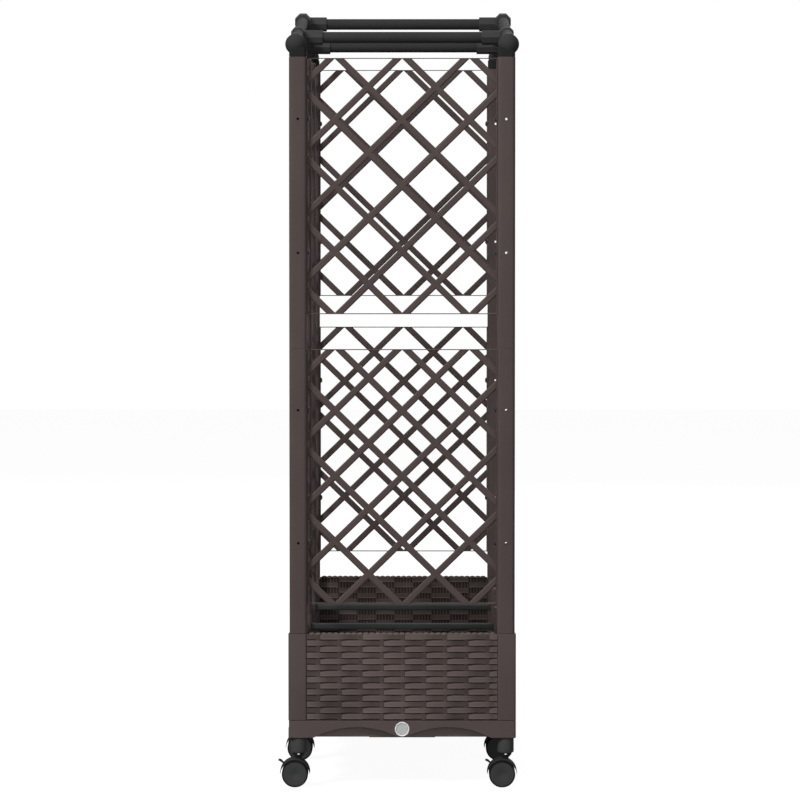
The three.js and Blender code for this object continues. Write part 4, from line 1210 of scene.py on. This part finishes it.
# %% Plug
RING_PROFILE = ((10.4, 3.6), (10.4, 0.6), (10.9, -0.5), (11.6, -0.95), (12.4, -0.85), (13.0, -0.3),
                (13.2, 0.5), (13.2, 3.7))
DISC_PROFILE = ((10.0, 0.3), (10.2, 0.5), (10.2, 3.7), (8.0, 3.7), (8.0, 19.0), (7.2, 20.0))
ring, disc = tube(in_mm(RING_PROFILE)), turned(in_mm(DISC_PROFILE))
# Painted shade: the disc is painted a deeper grey than the ring for the shade of its recess.
plug_disc_painted_shade = moulded("grey plug disc plastic, painted shade", "#bfc1c0", "#b7b9b8", 0.5)
add_piece("plug_ring", moved(ring, plug_place, ALONG_Y), plug_ring_painted_highlight, replaces=["drain_plug"])
add_piece("plug_disc", moved(disc, plug_place, ALONG_Y), plug_disc_painted_shade)
print("plug at", [round(v, 4) for v in plug_place.translation])

# %% [markdown]
# ## Top frame
# Pipes run from each corner up to a ridge in the middle and across from side to side. Octagonal sleeves
# hold them: at the corners they grow out of a ball on a square foot, at the ridge two of them meet, and
# over the end bays they slide on the rails. Everything on a slope is drawn upright first, with its axis
# along Z, and then laid along the rail by one matrix.

# %% Measures of the top frame
BALL_RADIUS, BALL_RISE, BALL_OUTSET = 18.6 * MM, 22.5 * MM, 4 * MM
RAIL_LIFT, RAIL_RISE, PIPE_RADIUS, PIPE_WALL = 6 * MM, 51.6 * MM, 10.2 * MM, 1.4 * MM
PIPE_FIT, SLEEVE_WALL, PEAK_WALL, MOUTH_EDGE = 0.3 * MM, 2 * MM, 4.25 * MM, 0.8 * MM
SOCKET_LENGTH, TEE_LENGTH, PEAK_LENGTH = 42 * MM, 46 * MM, 40 * MM
CROSS_SLEEVE, CROSS_DROP, PIPE_INSERTION = 45 * MM, 6.5 * MM, 26 * MM
rail_x, ball_z = post_x + BALL_OUTSET, post_top + BALL_RISE
rail_slope, EIGHTH = math.atan2(RAIL_RISE, end_y), math.pi / 8


def rail_z(distance):
    """Height of the rail's axis at a distance from the ridge."""
    return ball_z + RAIL_LIFT + RAIL_RISE * (end_y - distance) / end_y


def down_slope(side_sign, end_sign, distance):
    """Lays a piece along a rail: its own Z then runs down the slope, starting at a distance from the ridge."""
    downhill = Vector((0, end_sign * math.cos(rail_slope), -math.sin(rail_slope)))
    across = Vector((1, 0, 0))
    turn = Matrix((across, downhill.cross(across), downhill)).transposed().to_4x4()
    return at(side_sign * rail_x, end_sign * distance, rail_z(distance)) @ turn


LIP, LINE_DEPTH, LINE_HALF = 3 * MM, 0.35 * MM, 0.3 * MM


def octagon(flats, start, end, turn, closed_start=True):
    """An octagonal sleeve with a chamfer, a lip line at its mouth and a flat or an edge on top."""
    corner = flats / 2 / math.cos(EIGHTH)
    mouth = [(0, LIP), (-LINE_DEPTH, LIP + LINE_HALF), (0, LIP + 2 * LINE_HALF)]
    profile = [(corner, start)] if closed_start else [
        (corner - MOUTH_EDGE, start), (corner, start + MOUTH_EDGE),
        *[(corner + off, start + depth) for off, depth in mouth]]
    profile += [(corner + off, end - depth) for off, depth in reversed(mouth)]
    profile += [(corner, end - MOUTH_EDGE), (corner - MOUTH_EDGE, end)]
    return turned(profile, 8, turn, math.radians(20))


def pipe_bore(start, end):
    return turned([(PIPE_RADIUS + PIPE_FIT, start), (PIPE_RADIUS + PIPE_FIT, end)], 40)


def pipe(start, end):
    inner, edge = PIPE_RADIUS - PIPE_WALL, 0.3 * MM
    return tube([(PIPE_RADIUS - edge, start), (PIPE_RADIUS, start + edge), (PIPE_RADIUS, end - edge),
                 (PIPE_RADIUS - edge, end), (inner, end), (inner, start)], 40)


socket_flats = 2 * (PIPE_RADIUS + PIPE_FIT + SLEEVE_WALL)
peak_flats = 2 * (PIPE_RADIUS + PEAK_WALL)
along_rail = 1 / math.cos(rail_slope)
print("ridge", round(rail_z(0), 4), "slope", round(math.degrees(rail_slope), 2), "degrees")

# %% [markdown]
# ## Corner elbows
# An elbow is a ball with a sleeve for the rail and a tenon that sits in the post, on a square foot. The
# ball is a UV sphere, and booleans merge it with the sleeve and drill the sleeve out. The foot lies in
# the shade of the ball, and that shade is painted into it as a deep charcoal, so it is a piece of its own,
# hollowed by the same ball.

# %% Corner elbows
FOOT_WIDTH, FOOT_EDGE, TENON_LENGTH = 31 * MM, 0.5 * MM, 30 * MM
foot_bottom, foot_top = post_top + 0.3 * MM, ball_z - 5 * MM
ball = bpy.data.meshes.new("ball")
bm = bmesh.new()
bmesh.ops.create_uvsphere(bm, u_segments=56, v_segments=32, radius=BALL_RADIUS)
bm.to_mesh(ball)
bm.free()
foot = square_solid(FOOT_WIDTH, POST_RADIUS, [
    (FOOT_EDGE, foot_bottom), (0, foot_bottom + FOOT_EDGE), (0, foot_top - MM), (0.8 * MM, foot_top)])
tenon = square_solid(spigot_width, COLUMN_RADIUS, [
    (MM, post_top - TENON_LENGTH), (0, post_top - TENON_LENGTH + MM), (0, foot_bottom + MM)])
socket_start = end_y - SOCKET_LENGTH
for end, sy in ENDS.items():
    for side, sx in SIDES.items():
        core = moved(ball, at(sx * rail_x, sy * end_y, ball_z))
        place = down_slope(sx, sy, socket_start)
        socket = moved(octagon(socket_flats, -SOCKET_LENGTH * along_rail, 0, EIGHTH), place @ MIRROR_Z)
        socket_bore = moved(pipe_bore(-MM, PIPE_INSERTION), place)
        posted = at(sx * post_x, sy * end_y, 0)
        elbow = combined(core, "UNION", [moved(tenon, posted), socket])
        elbow = combined(elbow, "DIFFERENCE", [socket_bore], math.radians(24))
        add_piece(f"elbow_{end}_{side}", elbow, elbow_charcoal,
                  replaces=[f"corner_elbow_{end}_{side}"])
        # The foot takes the darker charcoal, which is painted shade.
        add_piece(f"elbow_foot_{end}_{side}", combined(moved(foot, posted), "DIFFERENCE", [core.copy()]),
                  foot_painted_shade_charcoal)
print("elbow:", len(elbow.polygons), "faces")

# %% [markdown]
# The rails are plain pipes. The peak fitting joins the two rails of a side and carries the ridge pipe in
# a sleeve that points inwards. Its octagon is wider than the other sleeves. Seen from the end it is the
# eight-sided head above each corner.

# %% Rails and peak fittings
rail_end = socket_start + PIPE_INSERTION - PIPE_FIT
peak_bar_z = rail_z(0) - CROSS_DROP
RIDGE_OVERLAP, RIDGE_GAP = 1.5 * MM, 8 * MM


def across(side_sign, y, z):
    """Lays a piece along X so that its own Z points inwards from the rail."""
    return at(side_sign * rail_x, y, z) @ Matrix.Rotation(-side_sign * math.pi / 2, 4, "Y")


arm_sleeve = octagon(socket_flats, 0, CROSS_SLEEVE, 0)
arm_bore = pipe_bore(CROSS_SLEEVE - PIPE_INSERTION, CROSS_SLEEVE + MM)
peak_sleeve = octagon(peak_flats, -RIDGE_OVERLAP, PEAK_LENGTH * along_rail, EIGHTH)
peak_bore = pipe_bore(RIDGE_GAP, PEAK_LENGTH + 10 * MM)
for side, sx in SIDES.items():
    slopes = [down_slope(sx, sy, 0) for sy in (-1, 1)]
    inward = across(sx, 0, peak_bar_z)
    arms = [moved(peak_sleeve, slope) for slope in slopes]
    fitting = combined(arms[0], "UNION", [arms[1], moved(arm_sleeve, inward)])
    bores = [moved(peak_bore, slope) for slope in slopes] + [moved(arm_bore, inward)]
    fitting = combined(fitting, "DIFFERENCE", bores, math.radians(20))
    add_piece(f"peak_fitting_{side}", fitting, charcoal, replaces=[f"gable_rail_{side}"])
    for end, slope in zip(ENDS, slopes):
        rail = moved(pipe(RIDGE_GAP + MM, rail_end * along_rail), slope)
        add_piece(f"rail_{end}_{side}", rail, pipe_coat)
print("peak fitting:", len(fitting.polygons), "faces")

# %% [markdown]
# Three pipes run across from side to side, one at the ridge and one over the middle of each end bay.
# There a tee slides on the rail: a sleeve that is open at both ends, with an arm that points inwards. The
# arm and its bore are the same as at the ridge, so they are made once and moved.

# %% Cross pipes and tees
distance = end_y - bay_length / 2
tee_from_ridge = distance - TEE_LENGTH / 2
reach = rail_x - CROSS_SLEEVE + PIPE_INSERTION - PIPE_FIT
cross_pipe = pipe(-reach, reach)
for end, sy in ENDS.items():
    y, z = sy * distance, rail_z(distance) - CROSS_DROP
    add_piece(f"cross_pipe_{end}", moved(cross_pipe, at(0, y, z), ALONG_X), pipe_coat,
              replaces=[f"cross_bar_{end}"])
    for side, sx in SIDES.items():
        slope, inward = down_slope(sx, sy, tee_from_ridge), across(sx, y, z)
        runner = moved(octagon(socket_flats, 0, TEE_LENGTH * along_rail, EIGHTH, closed_start=False), slope)
        tee = combined(runner, "UNION", [moved(arm_sleeve, inward)])
        tee = combined(tee, "DIFFERENCE", [
            moved(pipe_bore(-MM, TEE_LENGTH + 3 * MM), slope), moved(arm_bore, inward)], math.radians(20))
        add_piece(f"tee_{end}_{side}", tee, charcoal)
add_piece("ridge_pipe", moved(cross_pipe, at(0, 0, peak_bar_z), ALONG_X), pipe_coat,
          replaces=["cross_bar_peak"])
print("cross pipes: 3, tees: 4 of", len(tee.polygons), "faces")

# %% [markdown]
# ## Casters
# Each caster hangs on a steel stem and swivels. An arched hood of thin plastic covers twin wheels, which
# turn on an axle in the web between them. Its neck widens to a plate, and a window in the plate shows the
# steel washer inside. The hood is lofted round the axle, the neck is turned about the stem, and booleans
# merge them. Everything is drawn about the swivel axis with the axle trailing towards -X, as the packed
# model has it.

# %% Hood and fork
WHEEL_RADIUS, HALF_WIDTH, TRAIL, WEB_HALF = 23.5 * MM, 20 * MM, 6.5 * MM, 4.2 * MM
HOOD_INNER, HOOD_OUTER, HOOD_CROWN, HOOD_TIP = 25.1 * MM, 26.8 * MM, 1.0 * MM, 0.5 * MM
HOOD_STEPS, THICK_FROM, WIDE_FROM, TIP_WIDTH, WIDENING = 40, 0.55, 0.4, 0.72, 0.28
AXLE_RADIUS, BOSS_RADIUS, WEB_INNER, WEB_OUTER = 4.3 * MM, 8 * MM, 6 * MM, HOOD_INNER + 0.8 * MM
WEB_STEPS, WEB_START, WEB_END, BRAKED_WEB_END = 12, 48, 132, 118
HUB_ANGLE, HUB_OFFSET, HUB_RADIUS, PEDAL_REACH = math.radians(140), 18.5 * MM, 3.2 * MM, 20.5 * MM
SHELF_DEPTH, SHELF_END, SWEEP_HALF, SWEEP_ANGLES = 5 * MM, -7 * MM, 4.5 * MM, (104, 126, 149, 172, 194)
NECK_PROFILE = ((5.0, 49.2), (5.2, 51.6), (6.4, 53.2), (9.8, 57.0), (10.8, 59.2), (10.9, 60.9))
HOLLOW_PROFILE = ((8.6, 57.4), (8.6, 60.0), (3.1, 60.0), (3.1, 62.0))
WINDOW_HALF, WINDOW_Z, WINDOW_STRETCH = 1.5 * MM, 58.6 * MM, 2.2
HOUSING_PROFILE = ((12.6, 61.1), (14.0, 61.8), (14.6, 63.2), (14.6, 86.6), (14.1, 88.4), (3.3, 88.4),
                   (3.3, 61.1))
WASHER_PROFILE = ((7.4, 57.4), (8.4, 57.8), (8.4, 59.6), (8.0, 59.9), (3.0, 59.9))
axle = at(-TRAIL, 0, WHEEL_RADIUS)
hub_x, hub_z = HUB_OFFSET * math.cos(HUB_ANGLE), HUB_OFFSET * math.sin(HUB_ANGLE)
hub = at(hub_x, 0, hub_z)


def polar(radius, angle):
    return radius * math.cos(angle), radius * math.sin(angle)


def hood_ring(angle):
    """The hood's section at an angle round the axle. It thins and narrows towards its two tips."""
    rise = math.sin(angle)
    outer = HOOD_OUTER + HOOD_CROWN * rise
    wall = HOOD_TIP + (outer - HOOD_INNER - HOOD_TIP) * min(1.0, rise / THICK_FROM)
    half = HALF_WIDTH * (TIP_WIDTH + WIDENING * min(1.0, rise / WIDE_FROM))
    edge, shoulder = outer - 0.5 * wall, half - 1.5 * MM
    section = ((outer - wall, half), (edge, half), (outer, shoulder), (outer, -shoulder), (edge, -half),
               (outer - wall, -half))
    return [Vector((radius * math.cos(angle), y, radius * math.sin(angle))) for radius, y in section]


def plate(points, half):
    """A flat plate between the wheels from points in X and Z."""
    return extruded(points, -half, half, Y_AXIS)


def web_outline(first, last):
    """The outline of the web that carries the hood, between two angles round the axle."""
    angles = [math.radians(first + (last - first) * i / WEB_STEPS) for i in range(WEB_STEPS + 1)]
    return [polar(WEB_OUTER, a) for a in angles] + [polar(WEB_INNER, a) for a in reversed(angles)]


def cylinder_y(radius, half, sides=32):
    return moved(turned([(radius, -half), (radius, half)], sides), ALONG_Y)


def caster_fork(braked):
    """Hood, web, boss and neck in one moulding, and on a braked caster the seat of the pedal."""
    web_end = BRAKED_WEB_END if braked else WEB_END
    parts = [cylinder_y(BOSS_RADIUS, WEB_HALF), plate(web_outline(WEB_START, web_end), WEB_HALF)]
    cuts = [cylinder_y(AXLE_RADIUS, HALF_WIDTH)]
    if braked:
        shelf_z = hub_z - SHELF_DEPTH
        parts.append(moved(cylinder_y(2 * HUB_RADIUS, WEB_HALF, 24), hub))
        shelf = [(hub_x, shelf_z), (SHELF_END, shelf_z), (SHELF_END, hub_z), (hub_x, hub_z)]
        parts.append(plate(shelf, WEB_HALF))
        cuts.append(moved(cylinder_y(HUB_RADIUS + 0.3 * MM, HALF_WIDTH, 24), hub))
        swept = [polar(1.4 * PEDAL_REACH, math.radians(degrees)) for degrees in SWEEP_ANGLES]
        cuts.append(plate([(hub_x, hub_z)] + [(hub_x + x, hub_z + z) for x, z in swept], SWEEP_HALF))
    fork = combined(hood.copy(), "UNION", parts)
    fork = moved(combined(fork, "DIFFERENCE", cuts), axle)
    window = moved(cylinder_y(WINDOW_HALF, HALF_WIDTH, 24), at(0, 0, WINDOW_Z),
                   Matrix.Diagonal((WINDOW_STRETCH, 1, 1, 1)))
    neck = combined(turned(in_mm(NECK_PROFILE), 40), "DIFFERENCE", [window, turned(in_mm(HOLLOW_PROFILE), 40)])
    return combined(fork, "UNION", [neck], math.radians(40))


hood = loft([hood_ring(math.pi * step / HOOD_STEPS) for step in range(HOOD_STEPS + 1)], crease=math.radians(50))
housing = tube(in_mm(HOUSING_PROFILE))
stem = turned(in_mm(WASHER_PROFILE) + [
    (3.0 * MM, base_bottom + 23 * MM), (2.2 * MM, base_bottom + 24 * MM)], 24)
forks = {True: caster_fork(True), False: caster_fork(False)}
print("forks:", [len(mesh.polygons) for mesh in forks.values()], "faces")

# %% [markdown]
# The two wheels and their axle are one turned profile that is mirrored in the middle, and each wheel
# wears a tyre with a round shoulder. The pedal of a braked caster is a flat oval bar that rises from its
# hub and levels out towards its tip. It is lofted along seven points of that route, wider from the fifth.

# %% Wheels and pedal
WHEEL_PROFILE = ((5.0, 19.0), (6.0, 19.5), (20.7, 19.5), (21.0, 19.1), (21.0, 4.9), (4.0, 4.5))
TYRE_PROFILE = ((21.1, 4.6), (21.1, 18.8), (21.5, 19.6), (22.7, 19.7), (23.5, 18.8), (23.5, 5.6), (22.9, 4.6))
wheel_crease = math.radians(28)
wheel_rings = [*WHEEL_PROFILE, *[(r, -along) for r, along in reversed(WHEEL_PROFILE)]]
wheels = moved(turned(in_mm(wheel_rings), 64, crease=wheel_crease), ALONG_Y)
tyre = tube(in_mm(TYRE_PROFILE), 72)
tyres = moved(joined([tyre, moved(tyre, MIRROR_Z)], wheel_crease), ALONG_Y)

PEDAL_BEND = ((0, 0), (0.18, 0.20), (0.34, 0.40), (0.50, 0.62), (0.66, 0.80), (0.84, 0.90), (1.0, 0.94))
ARM_HALF, PEDAL_HALF, PEDAL_THICKNESS = 3.9 * MM, 8 * MM, 2.7 * MM
PEDAL_WIDTHS = (ARM_HALF, ARM_HALF, ARM_HALF, ARM_HALF, PEDAL_HALF, PEDAL_HALF, 0.86 * PEDAL_HALF)
OVAL = ((-1, -0.35), (-0.9, -1), (0.9, -1), (1, -0.35), (1, 0.35), (0.9, 1), (-0.9, 1), (-1, 0.35))
tip_x, tip_z = polar(PEDAL_REACH, HUB_ANGLE)
route = [Vector((share_x * tip_x, 0, share_z * tip_z)) for share_x, share_z in PEDAL_BEND]


def pedal_ring(index):
    """The pedal's section at a point of its route: a flat oval across the way it runs."""
    before, after = route[max(index - 1, 0)], route[min(index + 1, len(route) - 1)]
    along = (after - before).normalized()
    off = Vector((-along.z, 0, along.x))
    half = PEDAL_WIDTHS[index]
    thick = PEDAL_THICKNESS / 2 * (0.7 if index == len(route) - 1 else 1.0)
    return [route[index] + off * thick * share + Vector((0, half * sideways, 0)) for sideways, share in OVAL]


pedal = loft([pedal_ring(index) for index in range(len(route))], crease=math.radians(50))
pedal = combined(pedal, "UNION", [cylinder_y(HUB_RADIUS, ARM_HALF, 24)])
pedal = moved(pedal, axle @ hub)
print("wheels", len(wheels.polygons), "pedal", len(pedal.polygons), "faces")

# %% [markdown]
# The eight casters stand under the columns, and the four at the rear trail the other way. Each fork swivels
# with a body of its own, its housing and stem ride along, the wheels roll on a second body, and the pedal
# of a corner caster tips on a third. So they are pieces of their own.
# %% Casters in place
for row in range(4):
    for side, sign in SIDES.items():
        label = f"{side}_{row + 1}"
        place = at(sign * post_x, row_y[row], 0) @ Matrix.Rotation(0 if row < 2 else math.pi, 4, "Z")
        braked = row in (0, 3)
        body = f"caster_{label}"
        add_piece(f"fork_{label}", moved(forks[braked], place), fork_charcoal, body,
                  [f"caster_fork_{label}"])
        # The housing takes the lighter charcoal, which is painted light.
        add_piece(f"housing_{label}", moved(housing, place), housing_painted_light_charcoal, body)
        add_piece(f"stem_{label}", moved(stem, place), steel, body)
        add_piece(f"wheels_{label}", moved(wheels, place, axle), wheel_grey, f"wheel_{label}",
                  [f"caster_wheel_{label}"])
        add_piece(f"tyres_{label}", moved(tyres, place, axle), tyre_black, f"wheel_{label}")
        if braked:
            add_piece(f"pedal_{label}", moved(pedal, place), fork_charcoal,
                      f"lever_{label}", [f"brake_lever_{label}"])
print("casters: 8, of which 4 have a brake")
